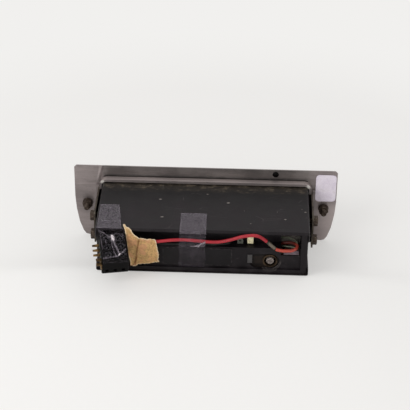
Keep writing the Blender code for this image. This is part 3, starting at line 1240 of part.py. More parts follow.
def make_coil_block(bench):
    """The tuner's coil block, bored for the cores, standing on the board."""
    high = core_levels()[-1] + CORE_PITCH
    size, middle = span_box((COIL_RIGHT - COIL_WIDTH, INNER_FRONT - CORE_BACK - COIL_DEPTH / 2,
                             BOARD_TOP + TOUCH),
                            (COIL_RIGHT, INNER_FRONT - CORE_BACK + COIL_DEPTH / 2, high))
    block = bench.part("coil_block", box_mesh("coil_block", size), "zinc", middle)
    for number, level in enumerate(core_levels(), 1):
        bore = rod_mesh("coil_bore", CORE_RADIUS + CORE_CLEARANCE, COIL_WIDTH + 2 * OVERRUN, 12, "X")
        bench.cut(block, bench.tool(f"coil_bore_{number}", bore, (middle[0], middle[1], level)))


def board_place(shares):
    """A place on the board, as shares of its width from the middle and of its depth from the front."""
    x = 2 * INNER_HALF * shares[0]
    y = BOARD_FRONT_Y + (BOARD_REAR_Y - BOARD_FRONT_Y) * shares[1]
    return x, y


def make_board(bench):
    size, middle = span_box((-INNER_HALF + TOUCH, BOARD_REAR_Y, BOARD_TOP - BOARD_SHEET),
                            (INNER_HALF - TOUCH, BOARD_FRONT_Y, BOARD_TOP))
    bench.part("circuit_board", box_mesh("circuit_board", size), "board_laminate", middle)
    ground = BOARD_TOP + TOUCH
    for number, shares in enumerate(CAN_PLACE_SHARES, 1):
        x, y = board_place(shares)
        name = f"if_can_{number}"
        can = box_mesh(name, (CAN_SIZE, CAN_SIZE, CAN_HEIGHT))
        bench.part(name, can, "zinc", (x, y, ground + CAN_HEIGHT / 2))
    can = rod_mesh("supply_capacitor", CAPACITOR_RADIUS, CAPACITOR_LENGTH, TURN_STEPS, "X")
    bench.part("supply_capacitor", can, "zinc",
               (BOARD_RIGHT - CAPACITOR_LENGTH / 2, CAPACITOR_MIDDLE_Y, ground + CAPACITOR_RADIUS))


def make_heat_sink(bench):
    x, y = board_place(SINK_PLACE_SHARES)
    ground = BOARD_TOP + TOUCH
    sink = bench.part("heat_sink", box_mesh("heat_sink", (SINK_WIDTH, SINK_DEPTH, SINK_BASE)), "zinc",
                      (x, y, ground + SINK_BASE / 2))
    pitch = (SINK_WIDTH - SINK_FIN_WIDTH) / (SINK_FIN_COUNT - 1)
    for number in range(SINK_FIN_COUNT):
        fin_x = x - (SINK_WIDTH - SINK_FIN_WIDTH) / 2 + number * pitch
        height = SINK_FIN_HEIGHT + SINK_BASE / 2
        fin = box_mesh("sink_fin", (SINK_FIN_WIDTH, SINK_DEPTH, height))
        place = (fin_x, y, ground + SINK_BASE / 2 + height / 2)
        bench.join(sink, bench.tool(f"sink_fin_{number}", fin, place))


def make_audio_choke(bench):
    """The output transformer: a winding through its stack of sheets."""
    x = BOARD_RIGHT - CORE_STACK_WIDTH / 2
    y = CHOKE_MIDDLE_Y
    ground = BOARD_TOP + TOUCH
    stack = box_mesh("audio_transformer", (CORE_STACK_WIDTH, CORE_STACK_DEPTH, CORE_STACK_HEIGHT))
    body = bench.part("audio_transformer", stack, "zinc", (x, y, ground + CORE_STACK_HEIGHT / 2))
    winding = box_mesh("winding", (WINDING_WIDTH, WINDING_DEPTH, WINDING_HEIGHT))
    bench.join(body, bench.tool("winding", winding, (x, y, ground + CORE_STACK_HEIGHT / 2)))


def main():
    clear_scene()
    bench = Bench()
    make_dash_plate(bench)
    for side_name, side in (("left", -1), ("right", 1)):
        make_bracket(bench, side_name, side)
        make_stud(bench, side_name, side)
        for level_name, height in zip(("upper", "lower"), BOLT_HEIGHTS):
            make_bracket_bolt(bench, f"{side_name}_{level_name}_bolt", side, height)
    make_sticker(bench)
    make_top_cover(bench)
    make_bottom_cover(bench)
    make_chassis(bench)
    make_rear_panel(bench)
    make_antenna_socket(bench)
    make_rear_fittings(bench)
    make_plug(bench)
    make_leads(bench)
    make_kraft_tape(bench)
    make_clear_tapes(bench)
    make_bezel(bench)
    make_dial(bench)
    make_pointer(bench)
    make_keys(bench)
    make_volume_side(bench)
    make_tuning_side(bench)
    make_gear(bench)
    make_core_carriage(bench)
    make_coil_block(bench)
    make_board(bench)
    make_heat_sink(bench)
    make_audio_choke(bench)


main()
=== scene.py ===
"""Old car radio behind its sheet dash plate: its finishes, its small pieces and a plain studio.

The rear looks to -Y, the dial and knobs look to +Y, Z is up, and every length is in metres.
"""

import math

import bmesh
import bpy
from bpy.props import FloatProperty, FloatVectorProperty, IntProperty, PointerProperty
from mathutils import Matrix, Vector, noise


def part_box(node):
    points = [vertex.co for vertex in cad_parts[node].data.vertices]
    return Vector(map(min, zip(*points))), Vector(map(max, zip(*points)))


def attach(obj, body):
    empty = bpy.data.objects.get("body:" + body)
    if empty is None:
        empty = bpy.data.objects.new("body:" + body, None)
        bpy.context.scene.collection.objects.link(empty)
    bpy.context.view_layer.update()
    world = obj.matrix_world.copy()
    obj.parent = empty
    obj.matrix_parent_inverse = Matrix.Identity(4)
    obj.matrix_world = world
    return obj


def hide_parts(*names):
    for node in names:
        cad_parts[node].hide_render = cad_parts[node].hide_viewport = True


bl_info = {
    "name": "Old Car Radio",
    "version": (1, 0, 0),
    "blender": (4, 5, 0),
    "location": "3D View > Sidebar > Car Radio",
    "description": "Dresses the packed car radio: worn sheet metal, tapes, leads, plug, dial and knobs",
    "category": "Object",
}

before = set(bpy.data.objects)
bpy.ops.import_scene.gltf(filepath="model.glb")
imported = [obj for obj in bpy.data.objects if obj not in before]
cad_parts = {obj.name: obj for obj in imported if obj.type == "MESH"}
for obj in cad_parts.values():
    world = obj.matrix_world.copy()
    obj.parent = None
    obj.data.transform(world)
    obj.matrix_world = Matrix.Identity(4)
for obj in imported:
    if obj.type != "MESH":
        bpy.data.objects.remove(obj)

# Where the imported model's main faces lie
COVER_LOW, COVER_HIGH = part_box("top_cover")
BEZEL_LOW, BEZEL_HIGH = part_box("bezel")
REAR = COVER_LOW.y
TOP = COVER_HIGH.z
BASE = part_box("bottom_cover")[0].z
PANEL_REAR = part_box("rear_panel")[0].y
FACE = BEZEL_HIGH.y
PLATE_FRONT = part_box("dash_plate")[1].y
PLATE_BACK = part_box("left_nut")[1].y

# The plug's middle, its size along its own edges, and how it is turned
PLUG_MIDDLE = sum(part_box("plug_body"), Vector()) / 2
PLUG_SIZE = Vector((0.0225, 0.0258, 0.0204))
PLUG_TURN = Matrix.Rotation(math.radians(11.3), 3, "Z") @ Matrix.Rotation(math.radians(21), 3, "X")

# Routes of the leads: (X, out from the rear face, up from the housing's base)
RED_ROUTE = (
    (-0.0560, 0.0030, 0.0330), (-0.0500, 0.0027, 0.0326), (-0.0440, 0.0025, 0.0322),
    (-0.0377, 0.0023, 0.0322), (-0.0310, 0.0022, 0.0332), (-0.0235, 0.0021, 0.0341),
    (-0.0150, 0.0020, 0.0344), (-0.0065, 0.0020, 0.0340), (0.0005, 0.0020, 0.0334),
    (0.0080, 0.0020, 0.0330), (0.0147, 0.0021, 0.0334), (0.0214, 0.0022, 0.0351),
    (0.0272, 0.0023, 0.0371), (0.0339, 0.0024, 0.0395), (0.0415, 0.0024, 0.0407),
    (0.0465, 0.0022, 0.0402), (0.0505, 0.0018, 0.0377), (0.0540, 0.0014, 0.0345),
)
SPLICE_ROUTE = ((0.0543, 0.0014, 0.0342), (0.0578, 0.0012, 0.0308), (0.0612, 0.0010, 0.0275))
LOOP_ROUTE = (
    (0.0618, 0.0010, 0.0268), (0.0652, 0.0010, 0.0257), (0.0700, 0.0006, 0.0251),
    (0.0745, -0.0004, 0.0247), (0.0782, -0.0026, 0.0248), (0.0800, -0.0056, 0.0252),
    (0.0796, -0.0090, 0.0254), (0.0770, -0.0120, 0.0248), (0.0730, -0.0140, 0.0239),
    (0.0690, -0.0152, 0.0227), (0.0655, -0.0172, 0.0206), (0.0640, -0.0186, 0.0180),
    (0.0636, -0.0192, 0.0150), (0.0636, -0.0192, 0.0116), (0.0636, -0.0192, 0.0083),
)
BLACK_ROUTE = (
    (-0.0520, -0.0034, 0.0290), (-0.0460, -0.0035, 0.0276), (-0.0400, -0.0036, 0.0267),
    (-0.0340, -0.0036, 0.0263), (-0.0270, -0.0037, 0.0263), (-0.0200, -0.0038, 0.0263),
    (-0.0120, -0.0040, 0.0263), (-0.0040, -0.0042, 0.0263), (0.0040, -0.0045, 0.0263),
    (0.0120, -0.0050, 0.0263), (0.0190, -0.0060, 0.0263), (0.0230, -0.0078, 0.0263),
    (0.0246, -0.0104, 0.0263),
)
WIRE_ROUTE = (
    (0.0650, -0.0196, 0.0150), (0.0655, -0.0194, 0.0220), (0.0680, -0.0184, 0.0262),
    (0.0720, -0.0170, 0.0272), (0.0760, -0.0150, 0.0272), (0.0790, -0.0118, 0.0270),
    (0.0803, -0.0080, 0.0262), (0.0792, -0.0062, 0.0240), (0.0765, -0.0082, 0.0233),
    (0.0720, -0.0100, 0.0226), (0.0684, -0.0122, 0.0218), (0.0662, -0.0160, 0.0196),
)


def tone(red, green, blue):
    """A colour as the eye names it, from 0 to 255, in the linear values that a shader takes."""
    shares = (red / 255, green / 255, blue / 255)
    return tuple(((share + 0.055) / 1.055) ** 2.4 if share > 0.04045 else share / 12.92
                 for share in shares)


# Settings

def colour_setting(name, description, default):
    return FloatVectorProperty(name=name, description=description, subtype="COLOR", size=3,
                               min=0.0, max=1.0, default=default)


def share_setting(name, description, default):
    return FloatProperty(name=name, description=description, subtype="FACTOR", min=0.0, max=1.0,
                         default=default)


def length_setting(name, description, default):
    return FloatProperty(name=name, description=description, unit="LENGTH", min=0.0, precision=5,
                         default=default)


def angle_setting(name, description, degrees):
    return FloatProperty(name=name, description=description, subtype="ANGLE", default=math.radians(degrees))


class MetalSettings(bpy.types.PropertyGroup):
    """Sheet metal and fasteners."""
    bare_sheet: colour_setting("Bare sheet", "Colour of the unpainted dash plate", tone(146, 137, 136))
    charcoal: colour_setting("Charcoal paint", "Colour of the painted housing", tone(20, 14, 18))
    rust: colour_setting("Rust", "Colour of rust and old dirt", tone(96, 86, 74))
    rust_share: share_setting("Rust share", "How much rust shows on the cover", 0.62)
    dust_share: share_setting("Dust share", "How much pale dust lies on the housing", 0.5)
    head_across: length_setting("Head width", "Bolt heads and nuts, across the flats", 0.008)
    head_chamfer: length_setting("Head chamfer", "Cut at the corners of heads and nuts", 0.0007)
    thread_pitch: length_setting("Thread pitch", "Distance between the threads of the screws", 0.0008)


class LeadSettings(bpy.types.PropertyGroup):
    """Leads at the rear."""
    red: colour_setting("Red insulation", "Colour of the long lead", tone(168, 34, 46))
    orange: colour_setting("Loop insulation", "Colour of the loop in the notch", tone(176, 70, 56))
    thick: length_setting("Lead radius", "Half the thickness of the red lead and the loop", 0.0014)
    thin: length_setting("Thin lead radius", "Half the thickness of the lead on the shelf", 0.0010)
    sleeve: length_setting("Sleeve radius", "Half the thickness of the splice sleeve", 0.00152)


class TapeSettings(bpy.types.PropertyGroup):
    """Paper tape and clear film."""
    kraft: colour_setting("Brown paper", "Colour of the paper tape", tone(196, 158, 106))
    film: colour_setting("Film", "Colour of the haze in the clear film", tone(140, 130, 142))
    paper_sheet: length_setting("Paper thickness", "Thickness of the paper tape", 0.0003)
    film_sheet: length_setting("Film thickness", "Thickness of the clear film", 0.0002)
    crumple: length_setting("Crumple", "Height of the paper's creases", 0.0006)


class FrontSettings(bpy.types.PropertyGroup):
    """Dial, knobs and keys."""
    plastic: colour_setting("Moulded plastic", "Colour of knobs, keys and plug", tone(14, 12, 13))
    scale: colour_setting("Dial plate", "Colour of the printed dial plate", tone(224, 216, 190))
    rib_count: IntProperty(name="Knob ribs", description="Ribs round each knob", min=8, max=90, default=36)
    rib_depth: length_setting("Rib depth", "Depth of the grooves between the ribs", 0.0004)
    number_height: length_setting("Number height", "Height of the dial's numbers", 0.0030)


class StudioSettings(bpy.types.PropertyGroup):
    """Camera, lights and floor."""
    backdrop: colour_setting("Backdrop", "Colour of the pale floor and background", tone(241, 240, 238))
    sky: FloatProperty(name="Soft light", description="Strength of the even light from all round",
                       min=0.0, max=3.0, default=0.75)
    key: FloatProperty(name="Main lamp", description="Power of the large soft lamp", unit="POWER",
                       min=0.0, max=100.0, default=8.5)
    turn: angle_setting("Camera turn", "Camera's angle round the radio", 1.65)
    rise: angle_setting("Camera rise", "Camera's angle above the radio", 32.06)
    roll: angle_setting("Camera roll", "Camera's turn about its own axis", 0.64)
    distance: length_setting("Camera distance", "From the upper rear edge to the camera", 1.2376)
    lens: FloatProperty(name="Focal length", description="Camera's lens, in millimetres", min=1.0,
                        default=130.17)


class RadioSettings(bpy.types.PropertyGroup):
    """Everything that can be changed before the pieces are made."""
    metal: PointerProperty(type=MetalSettings, name="Metal", description="Sheet metal and fasteners")
    leads: PointerProperty(type=LeadSettings, name="Leads", description="Leads at the rear")
    tapes: PointerProperty(type=TapeSettings, name="Tapes", description="Paper tape and clear film")
    front: PointerProperty(type=FrontSettings, name="Front", description="Dial, knobs and keys")
    studio: PointerProperty(type=StudioSettings, name="Studio", description="Camera, lights and floor")


# Shader building

# The stretch of a pattern that is as long as it is high and deep, and the turn of one that isn't turned
EVEN = (1, 1, 1)
UPRIGHT = (0, 0, 0)


def socket_of(sockets, key):
    """A socket by its number, its identifier or its name."""
    if isinstance(key, int):
        return sockets[key]
    for socket in sockets:
        if socket.identifier == key:
            return socket
    return sockets[key]


class Signal:
    """A number that varies over a surface, and takes plain arithmetic."""

    def __init__(self, finish, socket):
        self.finish = finish
        self.socket = socket

    def work(self, operation, first, second=0.0):
        """One step of arithmetic, as a node."""
        return self.finish.node("Math", {"operation": operation}, {0: first, 1: second})

    def __add__(self, other):
        return self.work("ADD", self, other)

    def __sub__(self, other):
        return self.work("SUBTRACT", self, other)

    def __rsub__(self, other):
        return self.work("SUBTRACT", other, self)

    def __mul__(self, other):
        return self.work("MULTIPLY", self, other)

    def __pow__(self, other):
        return self.work("POWER", self, other)

    def __abs__(self):
        return self.work("ABSOLUTE", self)

    __radd__ = __add__
    __rmul__ = __mul__

    def least(self, other):
        return self.work("MINIMUM", self, other)

    def most(self, other):
        return self.work("MAXIMUM", self, other)

    def root(self):
        return self.work("SQRT", self)

    def between(self, low, high):
        """0 below low, 1 above high, and smooth in between."""
        return self.finish.node("MapRange", {"interpolation_type": "SMOOTHSTEP"},
                                {"Value": self, "From Min": low, "From Max": high})

    def inside(self, low, high, soft):
        """1 between low and high, fading to 0 over the soft length on both sides."""
        return self.between(low - soft, low) * (1.0 - self.between(high, high + soft))


class Finish:
    """One material: its shader, the nodes that vary it over a surface, and its colour so far."""

    def __init__(self, name, metallic=0.0, gloss=0.5):
        self.material = bpy.data.materials.new(name)
        self.material.use_nodes = True
        self.tree = self.material.node_tree
        self.shader = self.tree.nodes["Principled BSDF"]
        self.vary({"Metallic": metallic, "Specular IOR Level": gloss})
        self.place = self.node("TexCoord", None, None, "Object")
        split = self.node("SeparateXYZ", None, {0: self.place}).socket.node
        self.x, self.y, self.z = (Signal(self, split.outputs[number]) for number in range(3))

    def node(self, kind, settings, inputs, output=0):
        """Any shader node: its settings come first, because they decide which sockets it has."""
        made = self.tree.nodes.new("ShaderNode" + kind)
        for field, value in (settings or {}).items():
            setattr(made, field, value)
        for key, value in (inputs or {}).items():
            self.feed(socket_of(made.inputs, key), value)
        return Signal(self, socket_of(made.outputs, output))

    def feed(self, socket, value):
        """Links a signal to a socket, or sets the socket to a value or a colour."""
        if isinstance(value, Signal):
            self.tree.links.new(value.socket, socket)
        elif socket.type == "RGBA":
            socket.default_value = (*value[:3], 1.0)
        else:
            socket.default_value = value

    def vary(self, values):
        """Sets or links the shader's own sockets."""
        for name, value in values.items():
            self.feed(self.shader.inputs[name], value)
        return self.material

    def share(self, name):
        """A share that is stored on a piece's points."""
        return self.node("Attribute", {"attribute_name": name}, None, "Fac")

    def points(self, size, stretch, turn):
        """Places over the material, scaled so that a pattern's parts are about size across."""
        scale = tuple(part / size for part in stretch)
        return self.node("Mapping", None, {"Vector": self.place, "Rotation": turn, "Scale": scale})

    def cloud(self, size, stretch=EVEN, detail=4.0, rough=0.55):
        """Soft irregular patches, about size across."""
        return self.node("TexNoise", None, {"Vector": self.points(size, stretch, UPRIGHT), "Scale": 1.0,
                                            "Detail": detail, "Roughness": rough}, "Fac")

    def grains(self, size):
        """Distance to the nearest of many scattered points, about size apart."""
        return self.node("TexVoronoi", None, {"Vector": self.points(size, EVEN, UPRIGHT), "Scale": 1.0},
                         "Distance")

    def cracks(self, size, stretch, turn):
        """Distance to the lines between many scattered cells, for folds and scratches."""
        return self.node("TexVoronoi", {"feature": "DISTANCE_TO_EDGE"},
                         {"Vector": self.points(size, stretch, turn), "Scale": 1.0}, "Distance")

    def blend(self, first, second, share):
        """One colour passing into another."""
        return self.node("Mix", {"data_type": "RGBA"},
                         {"Factor_Float": share, "A_Color": first, "B_Color": second}, "Result_Color")

    def base(self, first, second, share):
        """The two tones that the other colours lie on."""
        self.colour = self.blend(first, second, share)

    def coat(self, colour, share):
        """Lays a colour over what is there, as far as share says."""
        self.colour = self.blend(self.colour, colour, share)

    def relief(self, height, depth, under=None):
        """A bump of the given depth. Another one may lie under it."""
        inputs = {"Height": height, "Distance": depth}
        if under is not None:
            inputs["Normal"] = under
        return self.node("Bump", None, inputs, "Normal")

    def done(self, roughness, normal, **others):
        """The material, with its colour, roughness, bump and anything else that varies."""
        return self.vary({"Base Color": self.colour, "Roughness": roughness, "Normal": normal, **others})


# Finishes

def settings():
    return bpy.context.scene.car_radio


def times(colour, factor):
    return tuple(min(1.0, part * factor) for part in colour)


def once(maker):
    """Makes a material the first time it is asked for, and hands out the same one after that."""
    def made():
        return bpy.data.materials.get(maker.__name__) or maker(maker.__name__)
    return made


# The collar round the plate's window: where its upper side ends towards the plate and below, half
# its width, and its upper corners
COLLAR_END = 0.0394
COLLAR_UNDER = 0.0600
COLLAR_HALF = 0.0945
CORNER_X, CORNER_Y, CORNER_Z = 0.0905, 0.0320, 0.0618


def collar_face(metal):
    """The collar's upper side and its lip."""
    above = metal.z.between(COLLAR_UNDER, COLLAR_UNDER + 0.0006)
    return (1.0 - metal.y.between(COLLAR_END, COLLAR_END + 0.0010)) * above


def crevices(metal):
    """Painted shade where the collar meets the plate, and beside the housing where the collar is open."""
    x, y, z = metal.x, metal.y, metal.z
    root = y.inside(0.0396, 0.04145, 0.0003) * z.inside(CORNER_Z, 0.0640, 0.0004)
    root = root * x.inside(-COLLAR_HALF, COLLAR_HALF, 0.002)
    gap = x.inside(-0.0936, 0.0936, 0.0005) * (1.0 - z.between(0.0520, 0.0545)) * z.between(0.019, 0.022)
    return root.most(gap)


def spread(x, y):
    """How far a place is from the origin of two measures."""
    return (x ** 2.0 + y ** 2.0).root()


@once
def dash_sheet(name):
    """Bare pressed sheet: rolled grain and stains, painted highlights along a crease and on the collar's
    lip and corners, painted light on the right ear and painted shade in crevices.
    """
    metal = Finish(name, 0.85)
    bare = settings().metal.bare_sheet
    x, z = metal.x, metal.z
    stains = metal.cloud(0.024, (1, 1, 1.4), 6.0)
    streaks = metal.cloud(0.004, (0.12, 1, 1), 3.0)
    grain = metal.cloud(0.0007, (0.08, 1, 1), 2.0)
    shade = (stains * 0.55 + streaks * 0.3 + grain * 0.15).between(0.38, 0.62)
    metal.base(times(bare, 0.86), times(bare, 1.22), shade)
    upper = x.inside(-0.088, 0.089, 0.005) * z.between(0.056, 0.060)
    metal.coat(metal.blend(tone(114, 110, 108), tone(144, 139, 136), shade), upper * 0.8)
    # Painted light: the right ear's lower part is painted brighter.
    rubbed = x.between(0.090, 0.112) * (1.0 - z.between(0.030, 0.046))
    metal.coat(times(bare, 2.1), rubbed * (0.6 + 0.4 * stains))
    # Painted highlight along the crease near the plate's upper left corner.
    crease = abs(x + 0.0917 + (0.072 - z) * 0.22)
    bright = (1.0 - crease.between(0.0003, 0.0016)) * z.between(0.060, 0.067) * 0.8
    metal.coat(times(bare, 1.6), bright * streaks)
    scratch = 1.0 - abs(z - 0.0535 - (x + 0.11) * 0.04).between(0.0001, 0.0005)
    metal.coat(times(bare, 1.7), scratch * x.inside(-0.112, -0.098, 0.003) * 0.45)
    # Painted highlight on the collar's upper side and lip.
    metal.coat(times(bare, 1.9), collar_face(metal) * (0.35 + 0.5 * streaks))
    # Painted highlights on the collar's rounded upper corners.
    for side in (-1, 1):
        corner = spread(x - side * CORNER_X, z - CORNER_Z) + (metal.y - CORNER_Y).most(0.0)
        metal.coat(tone(250, 246, 240), 1.0 - corner.between(0.0008, 0.0026))
    # Painted shade in the groove at the collar's root and in the gap beside the housing.
    metal.coat(tone(26, 22, 20), crevices(metal) * (0.7 + 0.3 * grain))
    marks = 1.0 - metal.cracks(0.012, (0.5, 1, 1.6), (0.0, 0.5, 0.0)).between(0.004, 0.012)
    metal.coat(times(bare, 1.35), marks * stains * 0.35)
    spots = metal.cloud(0.0022, detail=5.0, rough=0.7).between(0.60, 0.70)
    metal.coat(settings().metal.rust, spots * stains * 0.7)
    fold = metal.relief((1.0 - crease.between(0.0, 0.0022)) * z.between(0.054, 0.064), 0.0004)
    return metal.done(0.36 + 0.22 * stains - 0.08 * grain,
                      metal.relief(grain * 0.35 + streaks * 0.65, 0.00012, fold))


@once
def oiled_sheet(name):
    """Thin plated sheet gone dark and olive, bright along its cut edges, with painted shade on its side
    next to the housing.
    """
    metal = Finish(name, 0.8)
    film = metal.cloud(0.008, detail=5.0)
    grain = metal.cloud(0.0008, (1, 0.15, 1), 2.0)
    shade = (film * 0.7 + grain * 0.3).between(0.35, 0.65)
    metal.base(tone(52, 47, 42), tone(100, 92, 82), shade)
    foot = abs(metal.x).between(0.0938, COLLAR_HALF + 0.0001) * metal.y.between(0.0385, 0.0395)
    bare = settings().metal.bare_sheet
    metal.coat(metal.blend(times(bare, 0.75), times(bare, 1.1), shade), foot)
    # Painted shade: the bracket is painted nearly black on its side next to the housing.
    metal.coat(tone(20, 18, 17), 1.0 - abs(metal.x).between(0.0931, 0.0934))
    spots = metal.cloud(0.0016, detail=4.0, rough=0.7).between(0.60, 0.68)
    metal.coat(settings().metal.rust, spots * (0.7 - 0.5 * foot))
    return metal.done(0.35 + 0.3 * film, metal.relief(grain, 0.00006))


def painted(name, dark, rust_place, spots, wiped=None):
    """Old charcoal paint: cloudy and dusty, with rust where rust_place says and chips at spots.

    The last argument says where shade is painted in: darker paint without dust, if anywhere.
    """
    metal = settings().metal
    paint = Finish(name, gloss=0.22)
    base = times(metal.charcoal, dark)
    mottle = paint.cloud(0.014, (1, 1.3, 1), 6.0, 0.6)
    fine = paint.cloud(0.0011, detail=3.0)
    paint.base(times(base, 0.72), times(base, 1.22), (mottle * 0.7 + fine * 0.3).between(0.36, 0.64))
    dust = paint.cloud(0.030, (1, 0.6, 1), 7.0, 0.68).between(0.46, 0.72)
    # Painted shade where asked: darker paint, with its dust left off.
    if wiped:
        paint.coat(times(base, 0.2), wiped(paint))
        dust = dust * (1.0 - wiped(paint))
    paint.coat(tone(128, 120, 124), dust * fine * (0.32 * metal.dust_share))
    rust = paint.cloud(0.006, (0.6, 1.2, 1), 6.0, 0.75).between(0.46, 0.64) * rust_place(paint)
    # A dark rust tone over the rust place; next to the cover's collar this darkening is partly painted
    # shade.
    paint.coat(times(metal.rust, 0.16), rust_place(paint) * 0.75)
    grit = paint.cloud(0.0018, (0.7, 1, 1), 4.0, 0.65).between(0.40, 0.66)
    paint.coat(paint.blend(times(metal.rust, 0.45), times(metal.rust, 1.9), grit), rust * metal.rust_share)
    wide = paint.cloud(0.018, detail=2.0).between(0.56, 0.62)
    line = 1.0 - paint.cracks(0.012, (0.3, 1.2, 1), (0, 0, 0.5)).between(0.002, 0.010)
    paint.coat(tone(104, 98, 98), line * wide * fine * 0.5)
    chips = 1.0 - paint.grains(0.0060).between(0.035, 0.07)
    shown = paint.cloud(0.011, detail=1.0).between(0.62, 0.64)
    paint.coat(tone(150, 142, 136), (chips * shown).most(spots(paint)) * 0.6)
    relief = paint.relief(fine * 0.6 + mottle * 0.4, 0.00012, paint.relief(1.0 - rust, 0.0001))
    return paint.done(0.38 + 0.26 * mottle + 0.2 * dust + 0.2 * rust, relief)


# Chips in the cover's paint: X, distance from the rear edge, radius
COVER_CHIPS = ((-0.0380, 0.0485, 0.0011), (0.0207, 0.0453, 0.0014), (-0.0348, 0.0203, 0.0012),
               (0.0868, 0.0336, 0.0010), (0.0694, 0.0211, 0.0009), (0.0025, 0.0586, 0.0006),
               (0.0405, 0.0133, 0.0006))


@once
def cover_paint(name):
    """The cover's paint: a rusty band before the collar, painted shade towards the collar, the chips of the
    photograph, and dust.
    """
    def band(paint):
        ragged = paint.y + 0.006 * paint.cloud(0.008, (1, 0.4, 1), 4.0)
        near_collar = ragged.between(REAR + 0.062, REAR + 0.074)
        return near_collar * (0.35 + 0.65 * paint.x.inside(-0.078, 0.082, 0.014))

    def spots(paint):
        found = 0.0
        ragged = 0.0016 * (paint.cloud(0.0018, detail=3.0) - 0.5)
        for x, inward, size in COVER_CHIPS:
            away = spread(0.6 * (paint.x - x), paint.y - (REAR + inward)) + ragged
            found = (1.0 - away.between(size * 0.4, size * 0.8)).most(found)
        return found

    # Painted shade: the cover gets darker towards the collar.
    def wiped(paint):
        return paint.y.between(REAR + 0.020, REAR + 0.074) * 0.85
    return painted(name, 1.0, band, spots, wiped)


# Radii of the pale rings in the paint round the antenna socket
RING_RADII = (0.0079, 0.0092)


@once
def wall_paint(name):
    """The walls' darker paint, rusty along the base, with pale rings round the antenna socket."""
    def low_edge(paint):
        return 0.12 * (1.0 - paint.z.between(BASE, BASE + 0.004))

    def worn_rings(paint):
        away = off_socket(paint) + 0.0006 * paint.cloud(0.006, detail=3.0)
        inner, outer = (away.inside(radius, radius + 0.0004, 0.0004) for radius in RING_RADII)
        rings = inner.most(outer * 0.8)
        low = 1.0 - (paint.z - 0.25 * (paint.x - 0.0575)).between(BASE + 0.0075, BASE + 0.0115)
        return rings * low * (0.06 + 0.30 * paint.cloud(0.005, detail=3.0).between(0.35, 0.6))
    return painted(name, 0.7, low_edge, worn_rings)


def used(name, metallic, tones, film, mix, dull, grain, depth, spots=None):
    """A used surface: two tones under a film, a fine grain, and spots over them if asked.

    film and grain are clouds and mix is the film's range. dull holds the roughness and how far the
    film raises it. spots holds a cloud, its range, its tone and how strongly it shows.
    """
    part = Finish(name, metallic)
    film = part.cloud(*film)
    part.base(*tones, film.between(*mix))
    if spots:
        cloud, limits, spot, share = spots
        part.coat(spot, part.cloud(*cloud).between(*limits) * share)
    return part.done(dull[0] + dull[1] * film, part.relief(part.cloud(*grain), depth))


@once
def dull_plating(name):
    """Satin plating, finger-marked and slightly spotted."""
    return used(name, 0.9, (tone(140, 136, 128), tone(186, 182, 174)), (0.006, EVEN, 5.0), (0.35, 0.65),
                (0.28, 0.25), (0.0006, (1, 0.2, 1), 2.0), 0.00004,
                ((0.0014, EVEN, 4.0, 0.7), (0.62, 0.70), tone(98, 84, 66), 0.6))


@once
def rusty_steel(name):
    """Dark steel of screws and nuts, brown with old rust, rubbed bright in places."""
    metal = Finish(name)
    crust = metal.cloud(0.0014, detail=6.0, rough=0.7)
    wide = metal.cloud(0.004, detail=3.0)
    rust = (crust * 0.6 + wide * 0.4).between(0.42, 0.58)
    metal.base(tone(74, 64, 56), tone(50, 36, 27), rust)
    rubbed = metal.cloud(0.0009, detail=3.0).between(0.60, 0.68) * (1.0 - rust)
    metal.coat(tone(170, 156, 138), rubbed * 0.8)
    return metal.done(0.4 + 0.4 * rust, metal.relief(crust, 0.00018), Metallic=0.85 - 0.6 * rust)


@once
def worn_brass(name):
    """Brass gone dark, with brighter rubbed places."""
    return used(name, 0.95, (tone(66, 52, 36), tone(140, 112, 72)), (0.003, EVEN, 5.0, 0.65), (0.40, 0.64),
                (0.30, 0.25), (0.0004, (0.3, 1, 1), 2.0), 0.00003,
                ((0.0009, EVEN, 4.0, 0.7), (0.60, 0.68), tone(58, 44, 30), 0.8))


@once
def bright_chrome(name):
    """Polished chrome with a thin film and a few pits."""
    metal = Finish(name, 1.0)
    film = metal.cloud(0.012, detail=4.0)
    pits = metal.cloud(0.0008, detail=3.0, rough=0.7).between(0.66, 0.72)
    metal.base(tone(226, 226, 228), tone(206, 204, 202), film)
    metal.coat(tone(96, 82, 66), pits * 0.6)
    return metal.done(0.07 + 0.12 * film + 0.3 * pits, metal.relief(1.0 - pits, 0.00003))


# The front frame's bright rim, and the bright frames round the dial window and round the keys
RIM_WIDTH = 0.0024
FRAMED_HALF = 0.0478
WINDOW_MIDDLE, WINDOW_HALF = 0.04725, 0.0093
KEYS_MIDDLE, KEYS_HALF = 0.02875, 0.0065


@once
def bezel_plating(name):
    """Chrome rim and window frames round a satin black field."""
    metal = Finish(name)
    x, y, z = metal.x, metal.y, metal.z
    middle = (BEZEL_LOW.z + BEZEL_HIGH.z) / 2
    half = BEZEL_HIGH.z - middle
    side = (abs(x) - (BEZEL_HIGH.x - RIM_WIDTH)).most(abs(z - middle) - (half - RIM_WIDTH))
    window = (abs(x) - FRAMED_HALF).most(abs(z - WINDOW_MIDDLE) - WINDOW_HALF)
    keys = (abs(x) - FRAMED_HALF).most(abs(z - KEYS_MIDDLE) - KEYS_HALF)
    field = (1.0 - side.between(-0.0002, 0.0)) * window.least(keys).between(0.0, 0.0002)
    field = field * y.between(FACE - 0.0004, FACE - 0.0002)
    film = metal.cloud(0.010, detail=5.0)
    grain = metal.cloud(0.0005, detail=2.0)
    scuffs = metal.cloud(0.0012, (0.2, 1, 1), 3.0).between(0.60, 0.66)
    black = metal.blend(tone(30, 29, 30), tone(46, 44, 45), film)
    black = metal.blend(black, tone(104, 100, 98), scuffs * film * 0.6)
    metal.base(tone(222, 222, 224), tone(196, 194, 192), film)
    metal.coat(black, field)
    return metal.done(0.08 + 0.10 * film + field * (0.32 + 0.1 * grain),
                      metal.relief(grain * field + film * 0.2, 0.00005), Metallic=1.0 - field)


